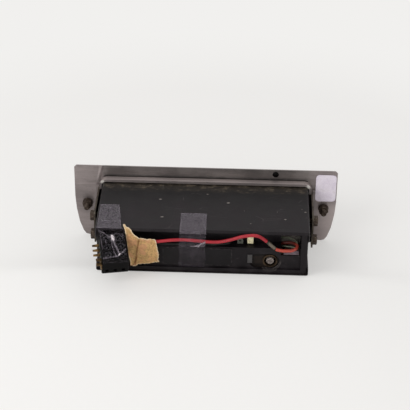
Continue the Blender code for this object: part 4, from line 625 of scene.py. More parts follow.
def moulded(name, colour, dusty, stain, gloss=0.22):
    """Moulded plastic: fine grain, a duller film and dust in patches."""
    plastic = Finish(name, gloss=gloss)
    grain = plastic.cloud(0.0005, detail=2.0)
    film = plastic.cloud(0.005, detail=5.0, rough=0.62)
    plastic.base(times(colour, 0.75), times(colour, 1.3), film.between(0.36, 0.64))
    plastic.coat(stain, (film * grain * 2.0).between(0.42, 0.75) * dusty)
    nicks = plastic.cloud(0.0010, (0.3, 1, 1), 3.0).between(0.64, 0.70)
    plastic.coat(times(stain, 1.3), nicks * dusty * 0.8)
    return plastic.done(0.30 + 0.3 * film + 0.1 * grain, plastic.relief(grain + film * 0.4, 0.00006))


@once
def black_label(name):
    """Black label with a faint sheen and rubbed edges."""
    label = Finish(name, gloss=0.22)
    film = label.cloud(0.006, detail=5.0)
    weave = label.cloud(0.0005, detail=2.0)
    low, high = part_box("rear_label")
    middle, half = (low + high) / 2, (high - low) / 2
    beside = abs(label.x - middle.x) - half.x
    above = abs(label.z - middle.z) - half.z
    edge = beside.most(above).between(-0.0012, 0.0)
    label.base(tone(8, 5, 7), tone(15, 11, 14), film.between(0.36, 0.64))
    rubbed = edge * label.cloud(0.0016, detail=4.0).between(0.46, 0.62)
    label.coat(tone(80, 74, 76), rubbed * 0.5)
    return label.done(0.34 + 0.2 * film + 0.2 * rubbed, label.relief(weave, 0.00003))


def insulation(name, colour, dirt, deep=None):
    """Soft lead insulation with dirt wiped along it. deep says where it is darkened, if anywhere."""
    rubber = Finish(name, gloss=0.35)
    along = rubber.cloud(0.005, (0.5, 1, 1), 5.0, 0.6)
    fine = rubber.cloud(0.0007, detail=3.0)
    rubber.base(times(colour, 0.72), times(colour, 1.15), along.between(0.36, 0.62))
    rubber.coat(tone(66, 40, 40), (along * fine * 2.0).between(0.5, 0.8) * dirt)
    if deep:
        rubber.coat(times(colour, 0.22), deep(rubber))
    return rubber.done(0.28 + 0.3 * along, rubber.relief(fine, 0.00006))


@once
def loop_insulation(name):
    """The loop's insulation, with painted shade deep inside the notch."""
    # Painted shade where the loop lies deep in the notch.
    def inner(rubber):
        return rubber.y.between(REAR + 0.006, REAR + 0.011)
    return insulation(name, settings().leads.orange, 0.6, inner)


@once
def sleeve_rubber(name):
    """The splice sleeve's rubber, darkened at its upper end."""
    def upper_end(rubber):
        return 1.0 - (rubber.x + 0.004 * rubber.cloud(0.004, detail=3.0)).between(0.0570, 0.0592)
    return insulation(name, tone(106, 99, 86), 0.9, upper_end)


def body_of(name, colour, spot):
    """Small moulded or lacquered electrical parts."""
    return used(name, 0.0, (times(colour, 0.82), times(colour, 1.1)), (0.003, EVEN, 5.0), (0.36, 0.64),
                (0.34, 0.24), (0.0005, EVEN, 2.0), 0.00005,
                ((0.0012, EVEN, 4.0, 0.7), (0.58, 0.68), spot, 0.5))


@once
def dark_metal(name):
    """Blackened contact metal deep in the plug's wells."""
    film = (0.0012, EVEN, 4.0)
    return used(name, 0.6, (tone(26, 26, 30), tone(66, 64, 68)), film, (0.40, 0.62), (0.35, 0.3), film,
                0.00004)


@once
def solder_face(name):
    """Rough grey solder, bright on its lumps and dark in its pits."""
    lumps = (0.0016, EVEN, 4.0, 0.6)
    return used(name, 0.3, (tone(92, 84, 80), tone(150, 140, 134)), lumps, (0.40, 0.62), (0.38, 0.25),
                lumps, 0.0003)


@once
def laminate(name):
    """Brown laminate sheet with its pressed fibres."""
    sheet = Finish(name)
    fibre = sheet.cloud(0.003, (0.2, 1, 1), 4.0)
    film = sheet.cloud(0.010, detail=5.0)
    sheet.base(tone(72, 48, 30), tone(122, 86, 54), (fibre * 0.6 + film * 0.4).between(0.36, 0.64))
    return sheet.done(0.35 + 0.25 * film, sheet.relief(fibre, 0.00005))


def off_socket(part):
    """How far a place is from the antenna socket's axis."""
    centre = turned_box("antenna_contact")[2]
    return spread(part.x - centre.x, part.z - centre.z)


# The antenna socket's tube ends at this radius, where its plate begins
TUBE_RADIUS = 0.0063


@once
def socket_finish(name):
    """Plated tube within a brown laminate plate, told apart by the distance from the tube's axis."""
    part = Finish(name, gloss=0.15)
    metal = 1.0 - off_socket(part).between(TUBE_RADIUS, TUBE_RADIUS + 0.0002)
    film = part.cloud(0.004, detail=5.0)
    fibre = part.cloud(0.003, (0.2, 1, 1), 4.0)
    tube = part.blend(tone(40, 32, 26), tone(78, 64, 50), film.between(0.36, 0.64))
    board = part.blend(tone(16, 12, 11), tone(34, 27, 23), fibre.between(0.36, 0.64))
    part.base(board, tube, metal)
    return part.done(0.36 + 0.24 * film, part.relief(fibre, 0.00004), Metallic=metal * 0.85)


@once
def brown_paper(name):
    """Brown paper tape: fibres, painted shade along its soft creases, and pale torn edges."""
    paper = Finish(name, gloss=0.25)
    colour = settings().tapes.kraft
    fibre = paper.cloud(0.0014, detail=5.0, rough=0.75)
    wide = paper.cloud(0.009, detail=4.0)
    paper.base(times(colour, 0.66), times(colour, 1.16), (fibre * 0.7 + wide * 0.3).between(0.40, 0.60))
    folds = paper.share("crease_share")
    # Painted shade along the creases.
    paper.coat(tone(112, 70, 36), folds * (0.7 + 0.4 * fibre))
    paper.coat(tone(206, 146, 112), paper.cloud(0.007, detail=3.0).between(0.52, 0.64) * 0.5)
    rim = paper.share("edge_share") * paper.cloud(0.0025, detail=3.0).between(0.32, 0.48)
    paper.coat(tone(240, 224, 192), rim * 0.9)
    stain = paper.cloud(0.006, detail=5.0, rough=0.7).between(0.58, 0.70)
    paper.coat(tone(120, 88, 56), stain * 0.4)
    return paper.done(0.62 + 0.25 * fibre, paper.relief(fibre, 0.00012, paper.relief(folds, 0.0003)))


@once
def label_paper(name):
    """Off-white paper label, slightly soiled."""
    paper = Finish(name, gloss=0.3)
    fibre = paper.cloud(0.0006, detail=3.0)
    soil = paper.cloud(0.007, detail=5.0, rough=0.6)
    paper.base(tone(218, 208, 222), tone(240, 232, 242), (fibre * 0.4 + soil * 0.6).between(0.35, 0.65))
    paper.coat(tone(186, 174, 178), soil.between(0.58, 0.76) * 0.4)
    return paper.done(0.55 + 0.2 * fibre, paper.relief(fibre, 0.00005))


@once
def tape_film(name):
    """Clear film: hazy and mottled where its glue sticks, almost clear elsewhere, with painted highlights
    along its creases.
    """
    film = Finish(name, gloss=0.4)
    colour = settings().tapes.film
    blot = film.cloud(0.0016, detail=5.0, rough=0.68)
    wide = film.cloud(0.009, (1, 0.6, 1), 3.0)
    haze = (blot * 0.7 + wide * 0.3).between(0.42, 0.60)
    stuck = film.share("haze_share")
    crease = film.share("crease_share") * (0.5 + blot)
    rim = film.share("edge_share")
    speck = film.cloud(0.0021, detail=4.0, rough=0.85).between(0.44, 0.56)
    film.base(times(colour, 0.8), times(colour, 1.2), haze)
    film.coat(film.blend(times(colour, 0.15), times(colour, 0.62), speck), stuck)
    film.coat(times(colour, 1.1), rim * 0.5)
    # Painted highlights along the creases, which also make the film less clear there.
    film.coat(tone(236, 226, 230), crease.between(0.15, 0.9))
    cover = stuck * (0.42 + 0.16 * haze) + 0.012 + 0.03 * rim
    return film.done(0.16 + 0.2 * blot, film.relief(blot * (0.05 + 0.95 * stuck), 0.0003),
                     Alpha=(cover + crease * 0.85).least(0.95))


@once
def clear_glass(name):
    """Clear moulded window, faintly scratched."""
    glass = Finish(name, gloss=0.7)
    hair = 1.0 - glass.cracks(0.006, (0.3, 1, 1), (0, 0.6, 0)).between(0.0, 0.02)
    film = glass.cloud(0.012, detail=4.0)
    return glass.vary({"Base Color": (0.9, 0.92, 0.92), "Alpha": 0.10 + 0.10 * film + 0.15 * hair,
                       "Roughness": 0.05 + 0.08 * film})


# The dial plate's printed line
LINE_LEVEL = 0.0473
LINE_HALF = 0.043


@once
def dial_print(name):
    """Ivory dial plate with one printed line between its two rows of numbers."""
    plate = Finish(name)
    ivory = settings().front.scale
    film = plate.cloud(0.012, detail=5.0)
    fine = plate.cloud(0.0008, detail=2.0)
    plate.base(times(ivory, 0.86), ivory, (film * 0.7 + fine * 0.3).between(0.35, 0.65))
    line = 1.0 - abs(plate.z - LINE_LEVEL).between(0.0001, 0.00018)
    plate.coat(tone(54, 44, 36), line * plate.x.inside(-LINE_HALF, LINE_HALF, 0.0002))
    return plate.done(0.45 + 0.15 * film, plate.relief(fine, 0.00002))


def plain_finish(name):
    """One of the moulded, insulated or lacquered finishes."""
    plastic, red = settings().front.plastic, settings().leads.red
    kinds = {
        "knob_plastic": (moulded, plastic, 0.25, tone(98, 92, 88)),
        "plug_plastic": (moulded, times(plastic, 0.3), 0.22, tone(30, 26, 25), 0.05),
        "lead_black": (moulded, tone(26, 27, 25), 0.4, tone(66, 66, 58)),
        "red_insulation": (insulation, red, 0.7),
        "pale_wire": (insulation, tone(112, 118, 98), 0.6),
        "cream_body": (body_of, tone(250, 236, 194), tone(160, 130, 84)),
        "grey_body": (body_of, tone(92, 94, 86), tone(54, 52, 44)),
        "pointer_red": (body_of, tone(196, 46, 36), tone(120, 30, 26)),
        "dull_tab": (body_of, tone(58, 56, 56), tone(34, 31, 30)),
        "number_ink": (body_of, tone(40, 34, 30), tone(64, 54, 44)),
        "dusty_ledge": (body_of, tone(196, 176, 186), tone(120, 106, 104)),
    }
    maker, *values = kinds[name]
    return bpy.data.materials.get(name) or maker(name, *values)


# Shape making

# Points nearer than this are one point, and a sharper bend than this stays an edge
MERGE = 0.000001
SHARP_ANGLE = math.radians(32)


def turned_box(node):
    """A node's two corners, and the point of its Y axis from which turned profiles are measured."""
    low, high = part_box(node)
    return low, high, Vector(((low.x + high.x) / 2, 0, (low.z + high.z) / 2))


def in_scene(name, data):
    """A new object in the scene."""
    item = bpy.data.objects.new(name, data)
    bpy.context.scene.collection.objects.link(item)
    return item


def finished(shape, name, finish, slot, *stands_for, body="radio"):
    """Makes a piece: its finish, the nodes it stands for and the body that carries it. The slot is not
    used.
    """
    mesh = shape if isinstance(shape, bpy.types.Mesh) else closed(shape, name)
    mesh.materials.clear()
    mesh.materials.append(finish)
    mesh.shade_smooth()
    mesh.set_sharp_from_angle(angle=SHARP_ANGLE)
    item = in_scene(name, mesh)
    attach(item, body)
    if stands_for:
        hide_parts(*stands_for)


def closed(shape, name):
    """Turns a bmesh into a mesh whose faces point outwards."""
    bmesh.ops.remove_doubles(shape, verts=shape.verts, dist=MERGE)
    bmesh.ops.recalc_face_normals(shape, faces=shape.faces)
    mesh = bpy.data.meshes.new(name)
    shape.to_mesh(mesh)
    shape.free()
    return mesh


def axis_turn(axis):
    """Turns +Z onto an axis."""
    return Vector((0, 0, 1)).rotation_difference(Vector(axis)).to_matrix().to_4x4()


def lathe(shape, points, centre, steps, loop=False, axis=(0, 1, 0)):
    """Turns a profile of (radius, place along the axis) round the axis through centre."""
    axis = Vector(axis)
    across = Vector((0, 0, 1)) if abs(axis.z) < 0.5 else Vector((1, 0, 0))
    line = [shape.verts.new(centre + across * radius + axis * along) for radius, along in points]
    pairs = list(zip(line, line[1:])) + ([(line[-1], line[0])] if loop else [])
    edges = [shape.edges.new(pair) for pair in pairs]
    bmesh.ops.spin(shape, geom=line + edges, cent=centre, axis=axis, angle=2 * math.pi, steps=steps,
                   use_merge=True)
    bmesh.ops.remove_doubles(shape, verts=shape.verts, dist=MERGE)
    return shape


def block(shape, size, matrix, edge=0.0, segments=2):
    """A box with rounded edges."""
    made = bmesh.ops.create_cube(shape, size=1.0)["verts"]
    bmesh.ops.scale(shape, vec=size, verts=made)
    if edge:
        edges = list({line for vert in made for line in vert.link_edges})
        made = bmesh.ops.bevel(shape, geom=edges, offset=edge, segments=segments, profile=0.5,
                               affect="EDGES", material=-1)["verts"]
        made = linked(made)
    bmesh.ops.transform(shape, matrix=matrix, verts=made)
    return made


def linked(verts):
    """The given vertices and every vertex joined to them."""
    found = set(verts)
    waiting = list(found)
    while waiting:
        for edge in waiting.pop().link_edges:
            for vert in edge.verts:
                if vert not in found:
                    found.add(vert)
                    waiting.append(vert)
    return list(found)


def hexagon(shape, across, depth, matrix, chamfer):
    """A hexagonal head or nut whose outer corners are cut, with flats facing the X axis's sides."""
    made = bmesh.ops.create_cone(shape, cap_ends=True, cap_tris=False, segments=6, depth=depth,
                                 radius1=across / math.sqrt(3), radius2=across / math.sqrt(3))["verts"]
    rim = [edge for edge in {line for vert in made for line in vert.link_edges}
           if all(vert.co.z > 0 for vert in edge.verts)]
    bmesh.ops.bevel(shape, geom=rim, offset=chamfer, segments=2, profile=0.5, affect="EDGES", material=-1)
    bmesh.ops.transform(shape, matrix=matrix, verts=linked(made[:1]) if made[0].is_valid else made)


# A thread's depth as a share of its pitch
THREAD_SHARE = 0.35


def thread(radius, pitch, start, end):
    """The profile of a threaded shank between two places along its axis."""
    count = max(2, round(abs(end - start) / pitch))
    points = []
    for number in range(count + 1):
        place = start + (end - start) * number / count
        points.append((radius, place))
        if number < count:
            points.append((radius - pitch * THREAD_SHARE, start + (end - start) * (number + 0.5) / count))
    return points


def smooth_route(points, between):
    """A smooth line through the given points."""
    last = len(points) - 1
    route = []
    for first in range(last):
        numbers = (max(first - 1, 0), first, first + 1, min(first + 2, last))
        before, start, end, after = (Vector(points[number]) for number in numbers)
        for step in range(between):
            share = step / between
            route.append(0.5 * (2 * start + (end - before) * share
                                + (2 * before - 5 * start + 4 * end - after) * share ** 2
                                + (3 * start - before - 3 * end + after) * share ** 3))
    route.append(Vector(points[last]))
    return route


def rear_points(route):
    """Points given as (X, out from the rear face, up from the base), in the model's own axes."""
    return [Vector((x, REAR - out, BASE + up)) for x, out, up in route]


def single_block(name, size, matrix, edge, finish, slot, body="radio"):
    """A piece that is one block."""
    shape = bmesh.new()
    block(shape, size, matrix, edge)
    finished(shape, name, finish, slot, body=body)


def mesh_of(line):
    """The mesh that a curve or a text makes."""
    holder = in_scene(line.name, line)
    made = holder.evaluated_get(bpy.context.evaluated_depsgraph_get())
    mesh = bpy.data.meshes.new_from_object(made)
    bpy.data.objects.remove(holder)
    return mesh


def tube(points, radius, swell=None):
    """A round lead along a line of points. Its thickness may vary along the way."""
    line = bpy.data.curves.new("line", "CURVE")
    line.dimensions = "3D"
    line.bevel_depth = radius
    line.bevel_resolution = 5
    line.use_fill_caps = True
    spline = line.splines.new("POLY")
    spline.points.add(len(points) - 1)
    for number, (dot, place) in enumerate(zip(spline.points, points)):
        dot.co = (*place, 1.0)
        dot.radius = swell(number / (len(points) - 1)) if swell else 1.0
    shape = bmesh.new()
    shape.from_mesh(mesh_of(line))
    return shape


def wave(place, size, seed=0.0):
    """Soft unevenness between -1 and 1, the same on every run."""
    return noise.noise(Vector(place) / size + Vector((seed, seed * 1.7, seed * 0.6)))


def limited(value):
    """The nearest value from 0 to 1."""
    return max(0.0, min(1.0, value))


def ridge(gap, width):
    """1 at the middle of a ridge, and falling away on both sides."""
    return math.exp(-(gap / width) ** 2)


def sheet(cells, lay, thickness, keep=None):
    """A thin sheet: a grid whose outside is torn away, laid out in space by two shares.

    keep and lay take how far across and how far down a point is, each from 0 to 1. lay gives the
    point's place, how strongly its creases are painted there (painted shade on paper, painted
    highlight on film), and how hazy.
    """
    shape = bmesh.new()
    layers = shape.verts.layers.float
    crease, haze, edge = (layers.new(word + "_share") for word in ("crease", "haze", "edge"))
    bmesh.ops.create_grid(shape, x_segments=cells[0], y_segments=cells[1], size=0.5)
    outside = [vert for vert in shape.verts if keep and not keep(vert.co.x + 0.5, 0.5 - vert.co.y)]
    bmesh.ops.delete(shape, geom=outside, context="VERTS")
    loose = [vert for vert in shape.verts if not vert.link_faces]
    bmesh.ops.delete(shape, geom=loose, context="VERTS")
    for _ in range(2):
        rim = [vert for vert in shape.verts if vert.is_boundary and len(vert.link_faces) < 4]
        bmesh.ops.smooth_vert(shape, verts=rim, factor=0.4, use_axis_x=True, use_axis_y=True)
    ring = [vert for vert in shape.verts if vert.is_boundary]
    for strength in (1.0, 0.6, 0.25):
        for vert in ring:
            vert[edge] = max(vert[edge], strength)
        ring = {line.other_vert(vert) for vert in ring for line in vert.link_edges}
    for vert in shape.verts:
        vert.co, vert[crease], vert[haze] = lay(vert.co.x + 0.5, 0.5 - vert.co.y)
    bmesh.ops.recalc_face_normals(shape, faces=shape.faces)
    bmesh.ops.solidify(shape, geom=shape.faces[:], thickness=thickness)
    return shape


def off_line(place, *line):
    """How far a flat point is from the nearest part of a line of points."""
    place = Vector(place)
    nearest = 1.0
    for start, end in zip(line, line[1:]):
        start, end = Vector(start), Vector(end)
        way = end - start
        share = limited((place - start).dot(way) / way.length_squared)
        nearest = min(nearest, (place - start.lerp(end, share)).length)
    return nearest


def along(points, share):
    """The place at a share of a line's whole length."""
    points = [Vector(point) for point in points]
    lengths = [(end - start).length for start, end in zip(points, points[1:])]
    left = share * sum(lengths)
    for start, end, length in zip(points, points[1:], lengths):
        if left <= length:
            return start.lerp(end, left / length)
        left -= length
    return points[-1]


# Studio

SENSOR_WIDTH = 36.0
CLIP_RANGE = (0.05, 20.0)
# How far the camera is shifted to its own right and upwards
EYE_ACROSS = 0.00229
EYE_UP = 0.02166
LAMP_PLACE = Vector((-0.85, -0.92, 0.98))
LAMP_AIM = Vector((0, 0, 0.03))
LAMP_SIZE = 0.8
SOFT_WHITE = (1.0, 0.99, 0.985)
FLOOR_SIZE = 0.9
FLOOR_CELLS = 300
# Between these distances the board passes into the backdrop
BOARD_END = (0.20, 0.48)
# The floor's swell: its crest along Y, its height, its reach to both sides of the crest, the half
# width over which it is level, and its reach beyond that
SWELL_CREST = REAR - 0.004
SWELL_HEIGHT = BASE - 0.0003
SWELL_FRONT = 0.033
SWELL_REAR = 0.15
SWELL_HALF = 0.10
SWELL_SIDE = 0.11


def make_camera(studio):
    """The camera of the photograph. It turns and rises about the middle of the upper rear edge."""
    turn, rise, roll = studio.turn, studio.rise, studio.roll
    back = Vector((math.sin(turn) * math.cos(rise), -math.cos(turn) * math.cos(rise), math.sin(rise)))
    right = Vector((math.cos(turn), math.sin(turn), 0.0))
    up = back.cross(right)
    across = right * math.cos(roll) + up * math.sin(roll)
    upward = up * math.cos(roll) - right * math.sin(roll)
    lens = bpy.data.cameras.new("photo_camera")
    lens.sensor_width = SENSOR_WIDTH
    lens.sensor_fit = "HORIZONTAL"
    lens.lens = studio.lens
    lens.clip_start, lens.clip_end = CLIP_RANGE
    camera = in_scene("photo_camera", lens)
    camera.matrix_world = Matrix((across, upward, back)).transposed().to_4x4()
    camera.location = (Vector((0.0, REAR, TOP)) + back * studio.distance + across * EYE_ACROSS
                       + upward * EYE_UP)
    bpy.context.scene.camera = camera


def make_lamp(studio):
    """One large soft lamp, to the left of the camera and above it."""
    light = bpy.data.lights.new("main_lamp", "AREA")
    light.shape = "SQUARE"
    light.size = LAMP_SIZE
    light.energy = studio.key
    lamp = in_scene("main_lamp", light)
    lamp.rotation_euler = (LAMP_AIM - LAMP_PLACE).to_track_quat("-Z", "Y").to_euler()
    lamp.location = LAMP_PLACE


def make_surroundings(studio):
    """Even light from all round. The camera and mirrors see the backdrop's own colour."""
    world = bpy.data.worlds.new("pale_room")
    bpy.context.scene.world = world
    world.use_nodes = True
    tree = world.node_tree
    tree.nodes.clear()
    ray = tree.nodes.new("ShaderNodeLightPath")
    seen = ray.outputs["Is Camera Ray"]
    for kind in ("Is Glossy Ray", "Is Transmission Ray"):
        both = tree.nodes.new("ShaderNodeMath")
        both.operation = "MAXIMUM"
        tree.links.new(seen, both.inputs[0])
        tree.links.new(ray.outputs[kind], both.inputs[1])
        seen = both.outputs[0]
    choice = tree.nodes.new("ShaderNodeMixShader")
    tree.links.new(seen, choice.inputs[0])
    for number, (colour, strength) in enumerate(((SOFT_WHITE, studio.sky), (studio.backdrop, 1.0)), 1):
        light = tree.nodes.new("ShaderNodeBackground")
        light.inputs["Color"].default_value = (*colour, 1.0)
        light.inputs["Strength"].default_value = strength
        tree.links.new(light.outputs[0], choice.inputs[number])
    out = tree.nodes.new("ShaderNodeOutputWorld")
    tree.links.new(choice.outputs[0], out.inputs["Surface"])


def floor_finish(studio):
    """Pale board that keeps the radio's shadow and passes into the backdrop further away."""
    board = Finish("pale_board", gloss=0.0)
    ray = board.node("LightPath", None, {}, "Is Camera Ray")
    grain = board.cloud(0.004, detail=3.0)
    board.vary({"Roughness": 0.9, "Base Color": board.blend(times(studio.backdrop, 1.03),
                                                            times(studio.backdrop, 1.06), grain)})
    glow = board.node("Emission", None, {"Color": studio.backdrop, "Strength": 1.0})
    away = spread(board.x, board.y).between(*BOARD_END).most(ray * 0.45)
    both = board.node("MixShader", None, {0: away, 1: Signal(board, board.shader.outputs[0]), 2: glow})
    board.tree.links.new(both.socket, board.tree.nodes["Material Output"].inputs["Surface"])
    return board.material


def make_floor(studio):
    """The floor swells a little under the radio's rear, because the radio rests on two edges."""
    shape = bmesh.new()
    bmesh.ops.create_grid(shape, x_segments=FLOOR_CELLS, y_segments=FLOOR_CELLS, size=FLOOR_SIZE)
    for vert in shape.verts:
        reach = SWELL_FRONT if vert.co.y > SWELL_CREST else SWELL_REAR
        wide = max(0.0, abs(vert.co.x) - SWELL_HALF) / SWELL_SIDE
        away = (vert.co.y - SWELL_CREST) / reach
        vert.co.z = SWELL_HEIGHT * math.exp(-away ** 2 - wide ** 2)
    mesh = bpy.data.meshes.new("floor")
    shape.to_mesh(mesh)
    shape.free()
    mesh.materials.append(floor_finish(studio))
    mesh.shade_smooth()
    in_scene("floor", mesh)


# Fasteners

SHANK_RADIUS = 0.0025
HEAD_DEPTH = 0.0035
WASHER_DEPTH = 0.0010
# The radius of a washer's hole
WASHER_HOLE = 0.0027
# How far the slot of a screw and the flats of a nut are turned
SLOT_TURN = 0.5
NUT_TURN = 0.25


def make_bolt(name, side):
    """A hexagon bolt that holds a bracket to the housing's side."""
    metal = settings().metal
    low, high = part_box(name)
    outer = high.x if side > 0 else -low.x
    inner = low.x if side > 0 else -high.x
    neck = outer - HEAD_DEPTH
    centre = Vector((0, (low.y + high.y) / 2, (low.z + high.z) / 2))
    axis = Vector((side, 0, 0))
    shape = bmesh.new()
    head = Matrix.Translation(centre + axis * (outer - HEAD_DEPTH / 2)) @ axis_turn(axis)
    hexagon(shape, metal.head_across, HEAD_DEPTH, head, metal.head_chamfer)
    shank = thread(SHANK_RADIUS, metal.thread_pitch, neck, inner)
    lathe(shape, [(0, neck)] + shank + [(0, inner)], centre, 24, axis=axis)
    finished(shape, name + "_head", rusty_steel(), "rusty_screw", name)


def make_stud(side_name):
    """The screw in an ear of the plate, its head to the front and its thread behind the nut."""
    node = side_name + "_stud"
    low, high, centre = turned_box(node)
    back = PLATE_FRONT + 0.0003
    radius = (high.x - low.x) / 2
    head = [(0, high.y - 0.0004), (radius * 0.5, high.y - 0.0002), (radius * 0.72, high.y - 0.0006),
            (radius * 0.93, back + 0.0009), (radius, back + 0.0004), (radius - 0.0002, back),
            (SHANK_RADIUS, back)]
    shank = thread(SHANK_RADIUS, settings().metal.thread_pitch, back - 0.0015, low.y + 0.0006)
    shape = lathe(bmesh.new(), head + shank + [(0.0018, low.y), (0, low.y)], centre, 32)
    finished(shape, side_name + "_screw", rusty_steel(), "rusty_screw", node)
    turn = Matrix.Translation(centre + Vector((0, high.y, 0))) @ Matrix.Rotation(SLOT_TURN, 4, "Y")
    single_block(side_name + "_screw_slot", (radius * 1.7, 0.0008, 0.0009), turn, 0.0001,
                 plain_finish("lead_black"), "rusty_screw")


def make_nut(side_name):
    """Washer and hexagon nut behind an ear, with the ring of the thread's mouth."""
    metal = settings().metal
    node = side_name + "_nut"
    low, high, centre = turned_box(node)
    radius = (high.x - low.x) / 2
    seat = high.y - WASHER_DEPTH
    washer = [(WASHER_HOLE, high.y), (radius - 0.0001, high.y), (radius, high.y - 0.0003),
              (radius - 0.0002, seat), (WASHER_HOLE, seat)]
    shape = lathe(bmesh.new(), washer, centre, 40, True)
    depth = seat - low.y
    matrix = (Matrix.Translation(centre + Vector((0, low.y + depth / 2, 0))) @ axis_turn((0, -1, 0))
              @ Matrix.Rotation(NUT_TURN, 4, "Z"))
    hexagon(shape, metal.head_across, depth, matrix, metal.head_chamfer)
    mouth = [(0.0026, low.y + 0.0006), (0.0033, low.y - 0.0001), (0.0037, low.y - 0.0001),
             (0.0037, low.y + 0.0006)]
    lathe(shape, mouth, centre, 32, True)
    finished(shape, side_name + "_nut_set", rusty_steel(), "rusty_screw", node)


# Leads

WIRE_RADIUS = 0.0005


def drawn_in(share):
    """The splice sleeve's thickness along its length, less at both ends."""
    return 0.82 + 0.18 * math.sin(math.pi * limited(share)) ** 0.5 + 0.02 * math.sin(share * 19)


def make_lead(name, route, radius, finish, slot, *stands_for, steps=8, swell=None):
    line = smooth_route(rear_points(route), steps)
    finished(tube(line, radius, swell), name, finish, slot, *stands_for)


# Paper tape

PAPER_SIDES = (-0.0680, -0.0350)
PAPER_ENDS = (0.0465, 0.0030)
PAPER_CELLS = (84, 108)
# The torn outline, as (X, height over the base)
PAPER_OUTLINE = (
    (-0.0676, 0.0458), (-0.0652, 0.0460), (-0.0633, 0.0441), (-0.0600, 0.0431), (-0.0571, 0.0398),
    (-0.0528, 0.0378), (-0.0472, 0.0363), (-0.0391, 0.0365), (-0.0378, 0.0330), (-0.0372, 0.0275),
    (-0.0361, 0.0185), (-0.0368, 0.0130), (-0.0358, 0.0098), (-0.0424, 0.0079), (-0.0534, 0.0059),
    (-0.0611, 0.0024), (-0.0611, 0.0082), (-0.0621, 0.0150), (-0.0631, 0.0230), (-0.0634, 0.0330),
    (-0.0645, 0.0405),
)


def within(x, z, outline):
    """Whether a point lies inside an outline."""
    inside = False
    for (x1, z1), (x2, z2) in zip(outline, outline[1:] + outline[:1]):
        if (z1 > z) != (z2 > z) and x < x1 + (z - z1) / (z2 - z1) * (x2 - x1):
            inside = not inside
    return inside


def make_paper_tape(tapes):
    """Crumpled paper that hangs from the cover's edge over the lead and down the lower wall."""
    left, right = PAPER_SIDES
    high, low = PAPER_ENDS
    line = [(REAR + 0.0035, TOP + 0.0005), (REAR - 0.0006, TOP + 0.0003), (REAR - 0.0042, BASE + 0.0385),
            (REAR - 0.0052, BASE + 0.0345), (REAR - 0.0052, BASE + 0.0290),
            (PANEL_REAR - 0.0008, BASE + 0.0060), (PANEL_REAR - 0.0008, BASE + 0.0040)]

    def out_of(height):
        level = BASE + height
        for (y1, z1), (y2, z2) in zip(line, line[1:]):
            if z1 >= level >= z2:
                return y1 + (z1 - level) / (z1 - z2) * (y2 - y1)
        return line[0][0] if level > line[0][1] else line[-1][0]

    def at(across, down):
        return left + (right - left) * across, high + (low - high) * down

    def keep(across, down):
        x, z = at(across, down)
        x += wave((x, 0, z), 0.0011, 3.0) * 0.00035
        z += wave((x, 0, z), 0.0013, 9.0) * 0.00045
        return within(x, z, PAPER_OUTLINE)

    def lay(across, down):
        x, z = at(across, down)
        fold = abs(x + 0.0536 + (0.030 - z) * 0.13)
        second = abs(x + 0.0560 + (0.012 - z) * 0.30) + 0.0006 * max(0.0, z - 0.016) / 0.004
        third = abs(z - 0.0340 + (x + 0.0500) * 0.15) + 0.0005 * max(0.0, -0.0545 - x) / 0.002
        # How much shade is painted along each crease.
        dark = 0.9 * ridge(fold, 0.0005) + 0.6 * ridge(second, 0.0004)
        dark += 0.25 * ridge(third, 0.0005)
        lift = 0.0009 * ridge(fold, 0.0011) + 0.0005 * wave((x, 0, z), 0.009, 1.0)
        lift += 0.0005 * ridge(second, 0.0008)
        creases = 0.5 * abs(wave((x, z, 0), 0.0045, 5.0)) + 0.3 * wave((x, 0, z), 0.0019, 2.0)
        lift += tapes.crumple * creases
        corner = max(0.0, (x + 0.0395) / 0.005) * max(0.0, (0.016 - z) / 0.006)
        lift += 0.0011 * min(1.0, corner)
        if z > TOP - BASE + 0.0001:
            over = z - (TOP - BASE)
            return Vector((x, REAR - 0.0008 + over * 2.2, TOP + 0.0006 + lift * 0.5)), 0.0, 0.0
        return Vector((x, out_of(z) - lift, BASE + z)), min(1.0, dark), 0.0

    paper = sheet(PAPER_CELLS, lay, tapes.paper_sheet, keep)
    finished(paper, "paper_tape", brown_paper(), "kraft_paper", "kraft_tape")


# Clear film

COVER_FILM_CELLS = (48, 84)
PLUG_FILM_CELLS = (64, 110)
MIDDLE_FILM_CELLS = (60, 120)
# The plug film's flat width and length, in which its folds are measured
PLUG_FILM_SIZE = (0.022, 0.037)
# The middle film's haze where its glue sticks and where it is loose, and the share where that changes
STUCK_HAZE = 0.85
LOOSE_HAZE = 0.07
STUCK_SHARE = 0.43
# How far down the middle film crosses the red lead
LEAD_SHARE = 0.56
# Creases of the middle film: strength of the highlight painted along each, and both ends in shares across
# and down
MIDDLE_FOLDS = ((0.5, (0.42, 0.63), (0.98, 0.53)), (0.35, (0.60, 0.62), (0.96, 0.585)),
                (0.25, (0.02, 0.60), (0.30, 0.655)))


def make_cover_film(tapes):
    """The film patch on the cover's left end."""
    low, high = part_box("clear_tape_left")

    def lay(across, down):
        left = low.x + 0.0004 * wave((down, 0, 0), 0.13, 2.0)
        right = high.x - 0.0048 * (1.0 - down) + 0.0004 * wave((down, 0, 1), 0.11, 4.0)
        x = left + (right - left) * across
        y = high.y + (REAR - high.y) * down
        bubble = max(0.0, wave((x, y, 0), 0.0042, 7.0) - 0.15)
        return Vector((x, y, TOP + 0.0004 + 0.0009 * bubble)), 0.25 * bubble, 1.0

    film = sheet(COVER_FILM_CELLS, lay, tapes.film_sheet)
    finished(film, "cover_film", tape_film(), "clear_plastic", "clear_tape_left")


def plug_place(x, y, z):
    """A place given from the plug's middle along its own edges."""
    return PLUG_MIDDLE + PLUG_TURN @ Vector((x, y, z))
